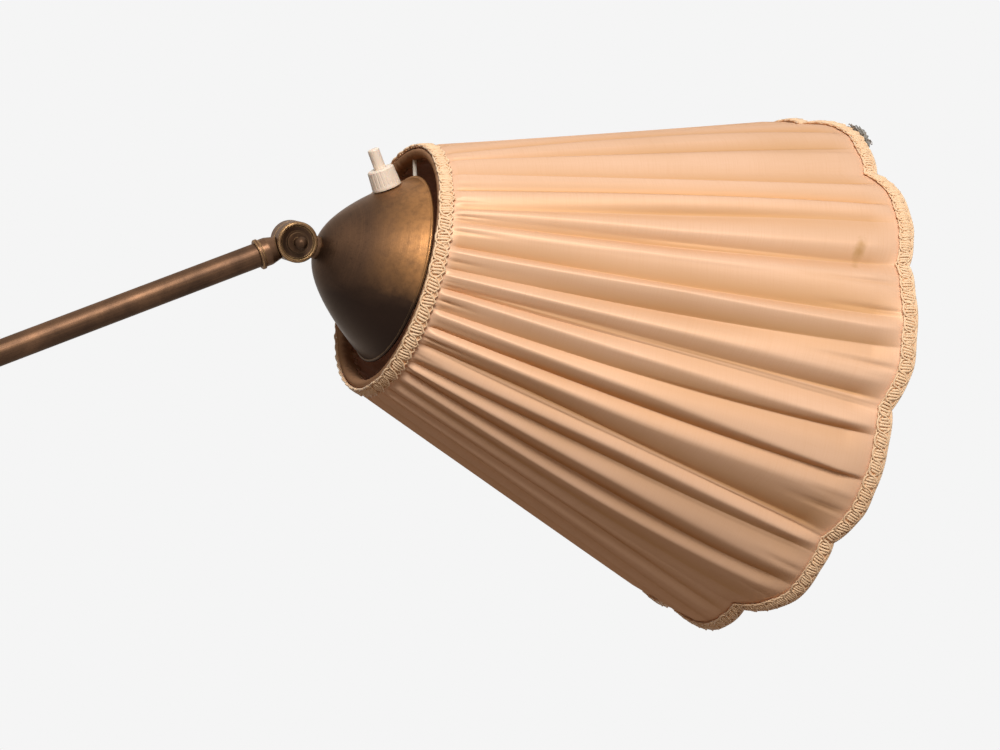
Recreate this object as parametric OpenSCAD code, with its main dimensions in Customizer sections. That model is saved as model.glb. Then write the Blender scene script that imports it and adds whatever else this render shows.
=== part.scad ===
// Bridge floor lamp: a weighted round base, an upright column, an arm that tilts on the
// column's knuckle, and a head that tilts on the arm's knuckle. The head is a spun brass
// dome with a push switch, a lampholder and a gathered fabric shade with a scalloped mouth.
// Origin: centre of the base's underside, on the floor. +Z is up, the arm reaches along +X,
// both knuckles turn about Y and the ball nuts face -Y.

/* [Base] */
// Diameter of the base cover
base_d = 260; // [220:2:320]
// Height of the base at its centre
base_h = 38; // [34:1:48]
// Height of the cover's upright skirt
skirt_h = 20; // [18:0.5:24]
// Radius of the turn from the skirt to the top
skirt_turn = 6; // [4:0.5:8]
// Height of the cover's lower edge above the floor
skirt_lift = 1.5; // [1:0.1:2.5]
// Wall of the spun base cover
cover_wall = 1; // [0.6:0.1:1.6]
// Thickness of the felt under the base
felt_t = 3; // [2:0.5:4]
// Radius of the recess under the weight
recess_r = 30; // [24:1:40]
// Depth of the recess under the weight
recess_depth = 10; // [9:0.5:14]
// Width of the cord channel under the weight
channel_w = 12; // [11:0.5:16]
// Radius of the cord outlet's bore
outlet_r = 3.2; // [2.6:0.1:3.6]
// Height of the cord outlet above the floor
outlet_h = 8.5; // [8:0.1:9.5]

/* [Column] */
// Height of the arm's pivot above the floor
pivot_h = 1180; // [900:10:1500]
// Outside diameter of the column tube
column_d = 16; // [14:0.5:18]
// Wall of the column tube
column_wall = 1.2; // [0.8:0.1:1.6]
// Radius of the column's foot where it stands on the base
foot_r = 25; // [22:0.5:32]
// Height of the column's foot
foot_h = 30; // [24:1:45]
// Radius of the threaded rod that holds the column to the base
rod_r = 5; // [4:0.1:5.5]
// Radius of the bore for the flex through rod, stems and neck
wire_r = 3; // [2:0.1:3.4]

/* [Arm] */
// Distance between the arm's two pivots
arm_len = 380; // [280:5:500]
// Rise of the arm above level, in degrees
arm_rise = 18.6; // [0:0.2:40]
// Outside diameter of the arm tube
arm_d = 14; // [13:0.2:16]
// Wall of the arm tube
arm_wall = 1; // [0.8:0.1:1.5]

/* [Knuckles] */
// Diameter of the knuckle discs
knuckle_d = 23.6; // [22:0.2:27]
// Width of one knuckle half
half_w = 8.6; // [8:0.1:10]
// Gap between the two halves
lap_gap = 0.7; // [0.5:0.1:1.2]
// Width of the raised rim round the disc
rim_w = 1.8; // [1.2:0.1:2.4]
// Depth of the dish inside the rim
dish_depth = 1.8; // [1.2:0.1:2.2]
// Depth of the groove in which the flex passes the pivot
groove_depth = 3.6; // [2.5:0.1:4.2]
// Radius of the stem where it leaves the disc
stem_r = 6.7; // [6:0.1:7]
// Distance from the pivot to a tube's end
seat_z = 17.8; // [16.5:0.1:20]
// Distance from the pivot to the collar's mouth
mouth_z = 22.8; // [21.8:0.1:26]
// Wall of the collar round a tube
collar_wall = 1.1; // [0.8:0.1:1.5]
// Height of the bead above the collar
bead_h = 0.8; // [0.4:0.1:1.2]
// Length of the spigot inside a tube
spigot_len = 9; // [6:0.5:14]
// Radius of the pivot screw
pivot_r = 2; // [1.5:0.1:2.4]
// Radius of the screw's head and of the nut's flange
flange_r = 5.8; // [5:0.1:6.4]
// Radius of the ball on the nut
ball_r = 3.7; // [2.9:0.1:4]
// Distance from the disc's rim to the ball's centre
ball_reach = 6.5; // [5:0.5:9]

/* [Dome] */
// Drop of the head below level, in degrees
head_drop = 17.1; // [0:0.1:60]
// Distance from the pivot to the dome's crown
crown_z = 14.4; // [13.8:0.1:18]
// Radius of the flat crown
crown_r = 7.4; // [7:0.1:9]
// Height of the dome
dome_h = 46.8; // [42:0.5:52]
// Radius of the dome's rim
dome_r = 56.2; // [50:0.5:60]
// Fullness of the dome: smaller is rounder
dome_power = 0.635; // [0.55:0.005:0.8]
// Wall of the spun dome
dome_wall = 0.9; // [0.7:0.1:1.2]
// Radius of the rolled edge round the rim
roll_r = 0.9; // [0.7:0.1:1.2]

/* [Switch] */
// Distance along the dome's axis, from its crown to the switch
switch_z = 31; // [28:0.5:34]
// Radius of the ribbed nut at its base
nut_r = 8.8; // [7.6:0.1:9]
// Radius of the ribbed nut at its top
nut_top_r = 8; // [6.8:0.1:8]
// Height of the ribbed nut
nut_h = 12; // [9:0.5:12]
// Number of ribs round the nut
nut_ribs = 22; // [16:1:28]
// Radius of the plunger
plunger_r = 3.5; // [2.8:0.1:3.6]
// Length of the plunger outside the nut
plunger_out = 12; // [9:0.5:14]
// Travel of the plunger
plunger_travel = 3; // [2:0.5:4]
// Radius of the switch body inside the dome
switch_r = 7.5; // [7:0.1:8]
// Length of the switch body inside the dome
switch_len = 18; // [16:0.5:20]
// Radius of the threaded neck of the switch
neck_r = 5; // [4.6:0.1:5.2]

/* [Lampholder and bulb] */
// Height of the lampholder's cap
cap_h = 20; // [16:0.5:24]
// Height of the lampholder's body
holder_h = 44; // [40:0.5:50]
// Radius of the lampholder
holder_r = 20; // [18.5:0.1:21]
// Radius of the lampholder's outer thread
thread_r = 18.6; // [17:0.1:18.6]
// Length of the lampholder's outer thread
thread_len = 18; // [15:0.5:22]
// Radius of the bulb's cap
lamp_cap_r = 13.2; // [12:0.1:13.6]
// Length of the bulb's cap
lamp_cap_len = 26; // [22:0.5:30]
// Radius of the bulb
bulb_r = 30; // [24:0.5:32]
// Length of the bulb's glass
bulb_len = 78; // [70:1:90]
// Wall of the bulb's glass
glass_wall = 0.8; // [0.5:0.1:1.5]

/* [Shade] */
// Distance from the head's pivot to the shade's top edge
top_z = 58; // [56:0.2:62]
// Radius over the folds at the top edge
top_r = 74.2; // [70:0.2:84]
// Distance from the head's pivot to the mouth, between two scallops
mouth_a = 309.6; // [260:0.2:360]
// Radius over the folds at the mouth, between two scallops
mouth_r = 163.8; // [130:0.2:190]
// Number of scallops, with one rib between each two
scallops = 12; // [8:1:16]
// Reach of a scallop beyond the points between scallops
scallop_depth = 8; // [4:0.5:14]
// Outward bulge of a scallop
bow = 4; // [0:0.2:6]
// Lean of the mouth's plane: the side is longer below than above, in degrees
mouth_lean = 1; // [0:0.1:3]
// Turn of the one rib that sits out of its place, in degrees
rib_slip = 5; // [0:0.5:8]
// Folds in one scallop
folds = 5; // [3:1:6]
// Depth of a fold
fold_depth = 2; // [1:0.1:2.2]
// Thickness of the gathered cloth at the bottom of a fold
cloth_t = 1; // [0.8:0.1:1.4]
// Width of the braid
braid_w = 9; // [7:0.5:12]
// Thickness of the braid
braid_t = 1.7; // [1.2:0.1:2.2]
// Radius of the frame's wire
wire_rad = 1.2; // [1:0.1:1.4]
// Radius of the frame's top ring
ring_rad = 1.5; // [1.3:0.1:1.7]
// Thickness of the lining
lining_t = 0.8; // [0.6:0.1:1.2]
// Number of arms on the carrier
carrier_arms = 3; // [3:1:4]
// Turn of the carrier's first arm from the switch, in degrees
carrier_turn = -13; // [-30:1:30]

/* [Hidden] */
$fn = 96;

brass = [0.45, 0.34, 0.22];
steel = [0.6, 0.6, 0.62];
satin = [0.93, 0.78, 0.64];
cream = [0.92, 0.88, 0.8];

// Clearances
fit = 0.05;        // radial clearance of a shaft in its bore
loose = 0.3;       // free space round what only passes or hangs
seat_gap = 0.1;    // space under a flange that turns or is tightened
turn_gap = 0.4;    // space between a disc and the stem of the other half
eps = 0.01;

// --- Base ---
cover_r = base_d / 2;
seat_r = foot_r + 2;
base_steps = 14;
// Height of the cover's top at a radius, from the seat down to the skirt's turn
function base_top(r) =
    let (x = (r - seat_r) / (cover_r - skirt_turn - seat_r))
    skirt_h + (base_h - skirt_h) * (1 + cos(180 * pow(x, 0.8))) / 2;
function base_turn(inset) = [for (i = [0:6])
    let (q = 15 * i, k = skirt_turn - inset)
    [cover_r - skirt_turn + k * sin(q), skirt_h - skirt_turn + k * cos(q)]];
function base_slope(inset) = [for (i = [0:base_steps - 1])
    let (r = seat_r + (cover_r - skirt_turn - seat_r) * i / base_steps)
    [r, base_top(r) - inset]];
nut_flats = 17;
nut_t = 5.5;
washer_r = 17;
washer_t = 2;
rod_bottom = felt_t + 1.2;
rod_top = base_h + foot_h * 0.6;
outlet_flange_r = outlet_r + 1.8;
outlet_neck_r = outlet_r + 0.9;
outlet_flange_t = 1.4;

// --- Column ---
column_r = column_d / 2;
column_bore = column_r - column_wall;
bush_len = foot_h * 0.6;

// --- Knuckles ---
disc_r = knuckle_d / 2;
stack = lap_gap / 2 + half_w;
boss_r = pivot_r + 2;
groove_r = disc_r - 2.2;
stem_bottom = (boss_r + groove_r) / 2;
arm_r = arm_d / 2;
pan_h = 2.2;

// --- Arm ---
pivot_j = [0, 0, pivot_h];
pivot_k = pivot_j + arm_len * [cos(arm_rise), 0, sin(arm_rise)];

// --- Dome, with z measured from the head's pivot ---
dome_steps = 18;
function dome_rad(z) = crown_r + (dome_r - crown_r) * pow((z - crown_z) / dome_h, dome_power);
function dome_step(i) = crown_z + dome_h * pow(i / dome_steps, 2);
// Slope of the dome's outside against its axis
function dome_slope(z) = let (x = max((z - crown_z) / dome_h, 1e-6))
    atan((dome_r - crown_r) * dome_power / dome_h * pow(x, dome_power - 1));
switch_at = crown_z + switch_z;
shoulder = dome_wall + switch_r * switch_r / (2 * dome_rad(switch_at)) + loose;
neck_top = nut_h - 3;
plunger_in = switch_len / 2 - 1;

// --- Lampholder ---
locknut_t = 3;
spigot_r = holder_r - 2.6;
spigot_h = 5;
locknut_flats = 12;
cap_z = crown_z + dome_wall + locknut_t + loose;
holder_z = cap_z + cap_h;
holder_end = holder_z + holder_h;
clamp_t = 4;
carrier_t = 1.8;
clamp_z = holder_end - thread_len + 3;
carrier_z = clamp_z + clamp_t + seat_gap;
clamp_r = thread_r + 4.5;
neck_end = cap_z + cap_h / 2 - 1;
lamp_cap_z = holder_end - lamp_cap_len;

// --- Shade, with z measured from the head's pivot ---
half_ang = 180 / scallops;
cone = atan2(mouth_r - top_r, mouth_a - top_z);
slant = norm([mouth_r - top_r, mouth_a - top_z]);
press = braid_t - 0.1;               // how far the braid holds the folds down
cloth_in = fold_depth + cloth_t;     // depth of the cloth's inner face below the folds
frame_in = cloth_in + loose + ring_rad;
lining_out = frame_in + ring_rad + loose;
braid_share = braid_w / slant;
wire_back = 3;                       // how far the mouth wire stays inside the cloth's edge

// The frame's centre line at a distance along the shade's side, as radius and z
function frame_at(g) = [top_r + g * sin(cone) - frame_in * cos(cone),
    top_z + g * cos(cone) + frame_in * sin(cone)];
ring_at = frame_at(ring_rad + 1);
wire_at = frame_at(slant - wire_back);

// The ribs' angles from the head's top, and the middle and half of each scallop's angle
function rib_ang(k) = 2 * k * half_ang + (k == 1 ? rib_slip : 0);
function mid_ang(k) = (rib_ang(k + 1) + rib_ang(k)) / 2;
function half_of(k) = (rib_ang(k + 1) - rib_ang(k)) / 2;
// The points of a scallop's edge lie on an arc between two ribs. R and Z are the radius
// and the place of the points between scallops, h is half the scallop's angle.
function peak(R, h) = [R * (1 - cos(h)) + scallop_depth * sin(cone) + bow * cos(cone),
    scallop_depth * cos(cone) - bow * sin(cone)];
function arc_r(R, h) = let (c = R * sin(h), g = norm(peak(R, h))) (c * c + g * g) / (2 * g);
function arc_drop(R, h, s) = let (c = R * sin(h), a = arc_r(R, h))
    sqrt(a * a - s * s * c * c) - (a - norm(peak(R, h)));
function edge(R, Z, h, s) = let (n = peak(R, h) / norm(peak(R, h)), d = arc_drop(R, h, s))
    [R * cos(h) + d * n[0], s * R * sin(h), Z + d * n[1]];
function turned(p, q) = [p[0] * cos(q) - p[1] * sin(q), p[0] * sin(q) + p[1] * cos(q), p[2]];
// How much longer the side is at an angle from the head's top
function longer(q) = -mouth_r * tan(mouth_lean) / cos(cone) * cos(q);
// A point of scallop k, at s from -1 to 1 across it and t from 0 at the top to 1 at the
// mouth, sunk by "in" below the folds
function shade_point(k, s, t, in) =
    let (h = half_of(k), q = s * h, mid = mid_ang(k))
    let (top = turned([top_r, 0, top_z], q), n = turned([cos(cone), 0, -sin(cone)], q))
    let (low = edge(mouth_r, mouth_a, h, s) + longer(mid + q) * turned([sin(cone), 0, cos(cone)], q))
    turned(top + (low - top) * t - in * n, mid);
function shade_ring(count, t, in) = [for (k = [0:scallops - 1]) for (j = [0:count - 1])
    shade_point(k, 2 * j / count - 1, t, in)];
// One ring of the folded face: crests on even points, bottoms of folds on odd ones
function fold_ring(t, share) = [for (k = [0:scallops - 1]) for (j = [0:2 * folds - 1])
    let (wave = 0.8 + 0.2 * sin(137 * (k * folds + j)))
    shade_point(k, j / folds - 1, t, j % 2 == 1 ? fold_depth * share * wave : 0)];

// --- Faces of a closed skin through rings of n points, where the last ring joins the first
function skin_faces(n, rings) = [for (q = [0:rings - 1]) for (i = [0:n - 1])
    let (a = q * n, b = ((q + 1) % rings) * n, j = (i + 1) % n)
    each [[a + i, b + j, a + j], [a + i, b + i, b + j]]];

module skin(rings) {
    polyhedron(points = [for (ring = rings) each ring],
        faces = skin_faces(len(rings[0]), len(rings)), convexity = 8);
}

// --- Placing ---
module head_frame() {
    translate(pivot_k) rotate([0, 90 + head_drop, 0]) rotate([0, 0, 180]) children();
}

module arm_frame() {
    translate(pivot_j) rotate([0, 90 - arm_rise, 0]) rotate([0, 0, 180]) children();
}

// The switch's own frame: +Z points out of the dome, square to it
module switch_frame() {
    head_frame() translate([dome_rad(switch_at), 0, switch_at])
        rotate([0, 90 + dome_slope(switch_at), 0]) children();
}

// --- Shared parts ---
module ring(r_in, r_out, h) {
    difference() {
        cylinder(r = r_out, h = h);
        translate([0, 0, -1]) cylinder(r = r_in, h = h + 2);
    }
}

module hex_nut(flats, h, bore) {
    difference() {
        cylinder(r = flats / 2 / cos(30), h = h, $fn = 6);
        translate([0, 0, -1]) cylinder(r = bore, h = h + 2);
    }
}

// One half of a knuckle: the pivot lies along Y, the half on the +Y side
module half_disc() {
    rotate([-90, 0, 0]) translate([0, 0, lap_gap / 2]) rotate_extrude() polygon([
        [0, 0], [boss_r, 0], [boss_r, groove_depth], [groove_r, groove_depth], [groove_r, 0],
        [disc_r, 0], [disc_r, half_w - 0.7], [disc_r - 0.7, half_w],
        [disc_r - rim_w, half_w], [disc_r - rim_w - 0.8, half_w - dish_depth * 0.6],
        [flange_r + 0.8, half_w - dish_depth], [0, half_w - dish_depth]]);
}

// A stem along +Z that ends in a collar with a bead, for a tube of radius r and bore b
module collar(r, b) {
    wall_r = r + collar_wall;
    rotate_extrude() polygon([
        [0, stem_bottom], [stem_r, stem_bottom], [stem_r, disc_r - 1],
        [wall_r, seat_z - 1.5], [wall_r, mouth_z - 2.6], [wall_r + bead_h, mouth_z - 2.1],
        [wall_r + bead_h, mouth_z - 0.5], [wall_r + bead_h - 0.5, mouth_z],
        [r + fit, mouth_z], [r + fit, seat_z], [b - fit, seat_z],
        [b - fit, seat_z + spigot_len - 0.6], [b - fit - 0.6, seat_z + spigot_len],
        [0, seat_z + spigot_len]]);
}

// Room for the other half's disc, the pivot's bore and the flex's way into the groove
module knuckle_cuts() {
    rotate([90, 0, 0]) translate([0, 0, -lap_gap / 2])
        cylinder(r = disc_r + turn_gap, h = 3 * half_w);
    rotate([90, 0, 0]) cylinder(r = pivot_r + fit, h = 4 * half_w, center = true);
    translate([0, 0, stem_bottom]) cylinder(r = wire_r, h = 2 * mouth_z);
}

module tube_knuckle(r, b) {
    difference() {
        union() {
            half_disc();
            collar(r, b);
        }
        knuckle_cuts();
    }
}

// A pivot's screw along +Z, its pan head on the -Z side
module pivot_screw() {
    head_z = stack - dish_depth;
    difference() {
        union() {
            translate([0, 0, -head_z]) cylinder(r = pivot_r, h = head_z + stack + 4);
            translate([0, 0, -head_z]) mirror([0, 0, 1]) rotate_extrude()
                polygon([[0, seat_gap], [flange_r, seat_gap], [flange_r, pan_h - 0.9],
                    [flange_r - 0.9, pan_h], [0, pan_h]]);
            translate([0, 0, -head_z - 1]) cylinder(r = pivot_r, h = 2);
        }
        translate([-flange_r - 1, -0.5, -head_z - pan_h - 1]) cube([2 * flange_r + 2, 1, 2]);
    }
}

// The nut that tightens a pivot: a flange, a stem and a ball
module ball_nut() {
    flange_z = stack - dish_depth + seat_gap;
    difference() {
        union() {
            translate([0, 0, flange_z]) cylinder(r = flange_r, h = 1.3);
            translate([0, 0, flange_z + 1])
                cylinder(r = pivot_r + 0.7, h = stack + ball_reach - flange_z - 1);
            translate([0, 0, stack + ball_reach]) sphere(r = ball_r);
        }
        translate([0, 0, flange_z - 1]) cylinder(r = pivot_r + fit, h = stack + 5.5 - flange_z);
    }
}

module pivot_washer() {
    translate([0, 0, -lap_gap / 2 + seat_gap])
        ring(pivot_r + fit, boss_r, lap_gap - 2 * seat_gap);
}

// --- Base ---
module base_felt() {
    color("darkgreen") cylinder(r = cover_r - cover_wall - 3, h = felt_t);
}

module base_weight() {
    in = cover_wall + loose;
    edge_r = cover_r - in;
    color("dimgray") difference() {
        union() {
            rotate_extrude() polygon(concat(
                [[0, felt_t], [edge_r, felt_t]],
                [for (i = [6:-1:0]) base_turn(in)[i]],
                [for (i = [base_steps - 1:-1:0]) base_slope(in)[i]],
                [[0, base_h - in]]));
            cylinder(r = seat_r - 2, h = base_h - cover_wall);
        }
        translate([0, 0, -1]) cylinder(r = rod_r + loose, h = base_h + 2);
        translate([0, 0, -1]) cylinder(r = recess_r, h = felt_t + recess_depth + 1);
        translate([-cover_r, -channel_w / 2, -1])
            cube([cover_r, channel_w, felt_t + recess_depth + 2.5]);
    }
}

module base_cover() {
    color(brass) difference() {
        rotate_extrude() polygon(concat(
            [[rod_r + loose, base_h]], base_slope(0), base_turn(0), [[cover_r, skirt_lift]],
            [[cover_r - cover_wall, skirt_lift]],
            [for (i = [6:-1:0]) base_turn(cover_wall)[i]],
            [for (i = [base_steps - 1:-1:0]) base_slope(cover_wall)[i]],
            [[rod_r + loose, base_h - cover_wall]]));
        translate([-cover_r + 8, 0, outlet_h]) rotate([0, -90, 0])
            cylinder(r = outlet_neck_r + fit, h = 20);
    }
}

module base_washer() {
    color(steel) translate([0, 0, felt_t + recess_depth - washer_t])
        ring(rod_r + fit, washer_r, washer_t);
}

module base_nut() {
    color(steel) translate([0, 0, felt_t + recess_depth - washer_t - nut_t])
        hex_nut(nut_flats, nut_t, rod_r + fit);
}

module base_rod() {
    color(steel) translate([0, 0, rod_bottom]) ring(wire_r, rod_r, rod_top - rod_bottom);
}

// The bush round the cord's outlet, which grips the skirt between two flanges
module cord_grommet() {
    inner = cover_wall + loose + outlet_flange_t;
    color("black") translate([-cover_r, 0, outlet_h]) rotate([0, -90, 0]) rotate_extrude()
        polygon([[outlet_r, -inner], [outlet_flange_r, -inner],
            [outlet_flange_r, -cover_wall - loose], [outlet_neck_r, -cover_wall - loose],
            [outlet_neck_r, seat_gap], [outlet_flange_r, seat_gap],
            [outlet_flange_r, outlet_flange_t - 0.5], [outlet_flange_r - 0.6, outlet_flange_t],
            [outlet_r, outlet_flange_t]]);
}

// --- Column ---
module column_foot() {
    neck = column_r + 2;
    steps = 12;
    color(brass) translate([0, 0, base_h]) rotate_extrude() polygon(concat(
        [[column_r + fit, 0], [foot_r, 0], [foot_r, 2.5], [foot_r - 1, 3.5]],
        [for (i = [0:steps]) let (x = i / steps)
            [neck + (foot_r - 3 - neck) * pow(1 - x, 2.2), 3.5 + (foot_h - 7.5) * x]],
        [[neck + 1.2, foot_h - 3.4], [neck + 1.2, foot_h - 0.8], [neck + 0.4, foot_h],
            [column_r + fit, foot_h]]));
}

module column_bush() {
    color(steel) translate([0, 0, base_h]) ring(rod_r + fit, column_bore - fit, bush_len);
}

module column_tube() {
    color(brass) translate([0, 0, base_h])
        ring(column_bore, column_r, pivot_h - seat_z - base_h);
}

module column_knuckle() {
    color(brass) translate(pivot_j) rotate([0, 180, 0]) tube_knuckle(column_r, column_bore);
}

module arm_pivot_screw() {
    color(brass) translate(pivot_j) rotate([90, 0, 0]) pivot_screw();
}

module arm_ball_nut() {
    color(brass) translate(pivot_j) rotate([90, 0, 0]) ball_nut();
}

module arm_pivot_washer() {
    color("saddlebrown") translate(pivot_j) rotate([90, 0, 0]) pivot_washer();
}

// --- Arm ---
module arm_foot_knuckle() {
    color(brass) arm_frame() tube_knuckle(arm_r, arm_r - arm_wall);
}

module arm_tube() {
    color(brass) arm_frame() translate([0, 0, seat_z])
        ring(arm_r - arm_wall, arm_r, arm_len - 2 * seat_z);
}

module arm_head_knuckle() {
    color(brass) translate(pivot_k) rotate([0, 270 - arm_rise, 0])
        tube_knuckle(arm_r, arm_r - arm_wall);
}

module head_pivot_screw() {
    color(brass) translate(pivot_k) rotate([90, 0, 0]) pivot_screw();
}

module head_ball_nut() {
    color(brass) translate(pivot_k) rotate([90, 0, 0]) ball_nut();
}

module head_pivot_washer() {
    color("saddlebrown") translate(pivot_k) rotate([90, 0, 0]) pivot_washer();
}

// --- Head ---
// The near half of the head's knuckle, whose threaded neck passes through the dome's crown
module head_knuckle() {
    color(brass) head_frame() difference() {
        union() {
            half_disc();
            translate([0, 0, stem_bottom]) cylinder(r = stem_r, h = crown_z - stem_bottom);
            translate([0, 0, stem_bottom]) cylinder(r = rod_r, h = neck_end - stem_bottom);
        }
        knuckle_cuts();
    }
}

module dome() {
    outer = [for (i = [0:dome_steps]) [dome_rad(dome_step(i)), dome_step(i)]];
    inner = [for (i = [0:dome_steps - 1]) let (z = dome_step(i), q = dome_slope(z))
        [dome_rad(z) - dome_wall * cos(q), z + dome_wall * sin(q)]];
    rim_in = dome_r - dome_wall / cos(dome_slope(crown_z + dome_h));
    color(brass) difference() {
        head_frame() union() {
            rotate_extrude() polygon(concat(
                [[0, crown_z]], outer, [[rim_in, crown_z + dome_h]],
                [for (i = [dome_steps - 1:-1:0]) inner[i]], [[0, crown_z + dome_wall]]));
            rotate_extrude() translate([dome_r - roll_r / 3, crown_z + dome_h]) circle(r = roll_r);
        }
        head_frame() translate([0, 0, crown_z - 1]) cylinder(r = rod_r + fit, h = 4);
        switch_frame() translate([0, 0, -5]) cylinder(r = neck_r + fit, h = 8);
    }
}

module dome_locknut() {
    color(steel) head_frame() translate([0, 0, crown_z + dome_wall])
        hex_nut(locknut_flats, locknut_t, rod_r + fit);
}

module lampholder_cap() {
    color([0.16, 0.13, 0.12]) head_frame() translate([0, 0, cap_z]) difference() {
        rotate_extrude() polygon(concat(
            [[0, 0], [rod_r + 3, 0]],
            [for (i = [1:8]) let (q = i * 90 / 8)
                [rod_r + 3 + (holder_r - rod_r - 3) * sin(q), (cap_h - 7) * (1 - cos(q)) + 1]],
            [[holder_r, cap_h], [spigot_r + fit, cap_h], [spigot_r + fit, cap_h - spigot_h - 1],
                [rod_r + 3, cap_h / 2], [0, cap_h / 2]]));
        translate([0, 0, -1]) cylinder(r = rod_r + fit, h = cap_h);
    }
}

module lampholder_body() {
    color([0.16, 0.13, 0.12]) head_frame() translate([0, 0, holder_z]) rotate_extrude()
        polygon([[0, -spigot_h], [spigot_r, -spigot_h], [spigot_r, 0], [holder_r, 0],
            [holder_r, holder_h - thread_len], [thread_r, holder_h - thread_len],
            [thread_r, holder_h], [lamp_cap_r + fit, holder_h],
            [lamp_cap_r + fit, holder_h - lamp_cap_len - loose],
            [0, holder_h - lamp_cap_len - loose]]);
}

module bulb_cap() {
    color(steel) head_frame() translate([0, 0, lamp_cap_z]) rotate_extrude()
        polygon([[0, 0], [4.5, 0], [5, 1.5], [lamp_cap_r - 2, 4], [lamp_cap_r, 6],
            [lamp_cap_r, lamp_cap_len], [0, lamp_cap_len]]);
}

module bulb_glass() {
    top = holder_end + seat_gap;
    neck = lamp_cap_r + 0.8;
    ball_z = bulb_len - bulb_r;
    steps = 10;
    function outline(in) = concat(
        [[neck - in, 0]],
        [for (i = [1:steps - 1]) let (x = i / steps)
            [neck + (bulb_r - neck) * (1 - cos(180 * x)) / 2 - in, ball_z * x]],
        [for (i = [0:steps - 1]) let (q = 90 * i / steps)
            [(bulb_r - in) * cos(q), ball_z + (bulb_r - in) * sin(q)]],
        [[0, bulb_len - in]]);
    color([0.95, 0.95, 0.93, 0.8]) head_frame() translate([0, 0, top]) rotate_extrude()
        polygon(concat(outline(0), [for (i = [len(outline(0)) - 1:-1:0]) outline(glass_wall)[i]]));
}

// --- Switch ---
module switch_body() {
    color(cream) switch_frame() difference() {
        union() {
            translate([0, 0, -shoulder - switch_len]) cylinder(r = switch_r, h = switch_len);
            translate([0, 0, -shoulder - 1]) cylinder(r = neck_r, h = shoulder + 1 + neck_top);
        }
        translate([0, 0, -shoulder - plunger_in - plunger_travel - 1])
            cylinder(r = plunger_r + fit, h = shoulder + switch_len + nut_h);
    }
}

module switch_nut() {
    slope = atan2(nut_r - nut_top_r, nut_h);
    color(cream) switch_frame() translate([0, 0, fit]) difference() {
        rotate_extrude() polygon([[0, 0], [nut_r, 0], [nut_r, 1.2], [nut_r - 0.1, 1.6],
            [nut_top_r, nut_h - 0.8], [nut_top_r - 0.8, nut_h], [0, nut_h]]);
        translate([0, 0, -1]) cylinder(r = neck_r + fit, h = neck_top + 1 + seat_gap);
        translate([0, 0, -1]) cylinder(r = plunger_r + loose, h = nut_h + 2);
        for (i = [0:nut_ribs - 1])
            rotate([0, 0, i * 360 / nut_ribs]) translate([nut_r + 0.15, 0, 2.2])
                rotate([0, -slope, 0]) cylinder(r = 0.55, h = nut_h + 2);
    }
}

module switch_plunger() {
    bottom = -shoulder - plunger_in;
    top = fit + nut_h + plunger_out;
    color(cream) switch_frame() rotate_extrude() polygon([[0, bottom], [plunger_r, bottom],
        [plunger_r, top - 0.9], [plunger_r - 0.3, top - 0.3], [plunger_r - 0.9, top], [0, top]]);
}

// --- Shade and its carrier ---
module clamp_ring() {
    difference() {
        ring(thread_r + fit, clamp_r, clamp_t);
        for (i = [0:11]) rotate([0, 0, 30 * i]) translate([clamp_r + 0.7, 0, -1])
            cylinder(r = 1.6, h = clamp_t + 2);
    }
}

module shade_ring_lower() {
    color([0.16, 0.13, 0.12]) head_frame() translate([0, 0, clamp_z]) clamp_ring();
}

module shade_ring_upper() {
    color([0.16, 0.13, 0.12]) head_frame()
        translate([0, 0, carrier_z + carrier_t + seat_gap]) clamp_ring();
}

module shade_carrier() {
    hub_r = clamp_r + 2.4;
    start = [hub_r - 1.2, carrier_z + carrier_t / 2];
    reach = ring_at - start;
    color(cream) head_frame() {
        difference() {
            union() {
                translate([0, 0, carrier_z]) cylinder(r = hub_r, h = carrier_t);
                for (i = [0:carrier_arms - 1]) rotate([0, 0, carrier_turn + i * 360 / carrier_arms])
                    translate([start[0], 0, start[1]]) rotate([0, atan2(reach[0], reach[1]), 0])
                        cylinder(r = wire_rad, h = norm(reach) - ring_rad - loose);
            }
            translate([0, 0, carrier_z - 5]) cylinder(r = thread_r + loose, h = 10);
        }
    }
}

// The welded wire frame: top ring, one rib between each two scallops, scalloped mouth wire
module shade_frame() {
    function knot(q) = turned([wire_at[0], 0, wire_at[1]] + longer(q) * [sin(cone), 0, cos(cone)], q);
    color(steel) head_frame() {
        translate([0, 0, ring_at[1]]) rotate_extrude()
            translate([ring_at[0], 0]) circle(r = ring_rad);
        for (k = [0:scallops - 1]) {
            q = rib_ang(k);
            rise = peak(wire_at[0], half_of(k));
            rotate([0, 0, q]) translate([ring_at[0], 0, ring_at[1]]) rotate([0, cone, 0])
                cylinder(r = wire_rad, h = norm(wire_at - ring_at) + longer(q));
            translate(knot(q)) sphere(r = wire_rad * 1.2);
            wire_arc(knot(q), knot(rib_ang(k + 1)), turned([rise[0], 0, rise[1]], mid_ang(k)));
        }
    }
}

// A wire bent in an arc from one point to another, whose middle lies about "rise" off the chord
module wire_arc(from, to, rise) {
    half = norm(to - from) / 2;
    chord = (to - from) / (2 * half);
    flat = rise - (rise * chord) * chord;
    out = flat / norm(flat);
    high = norm(rise);
    bend = (half * half + high * high) / (2 * high);
    sweep = asin(half / bend);
    translate((from + to) / 2 + (high - bend) * out)
        rotate([atan2(chord[2], cross(out, chord)[2]), -asin(out[2]), atan2(out[1], out[0])])
            rotate([0, 0, -sweep]) rotate_extrude(angle = 2 * sweep)
                translate([bend, 0]) circle(r = wire_rad);
}

module shade_lining() {
    n = 6;
    high = 8 / slant;
    low = 1 - 2 / slant;
    color([0.36, 0.2, 0.13]) head_frame() skin([
        shade_ring(n, high, lining_out), shade_ring(n, low, lining_out),
        shade_ring(n, low, lining_out + lining_t), shade_ring(n, high, lining_out + lining_t)]);
}

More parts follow.
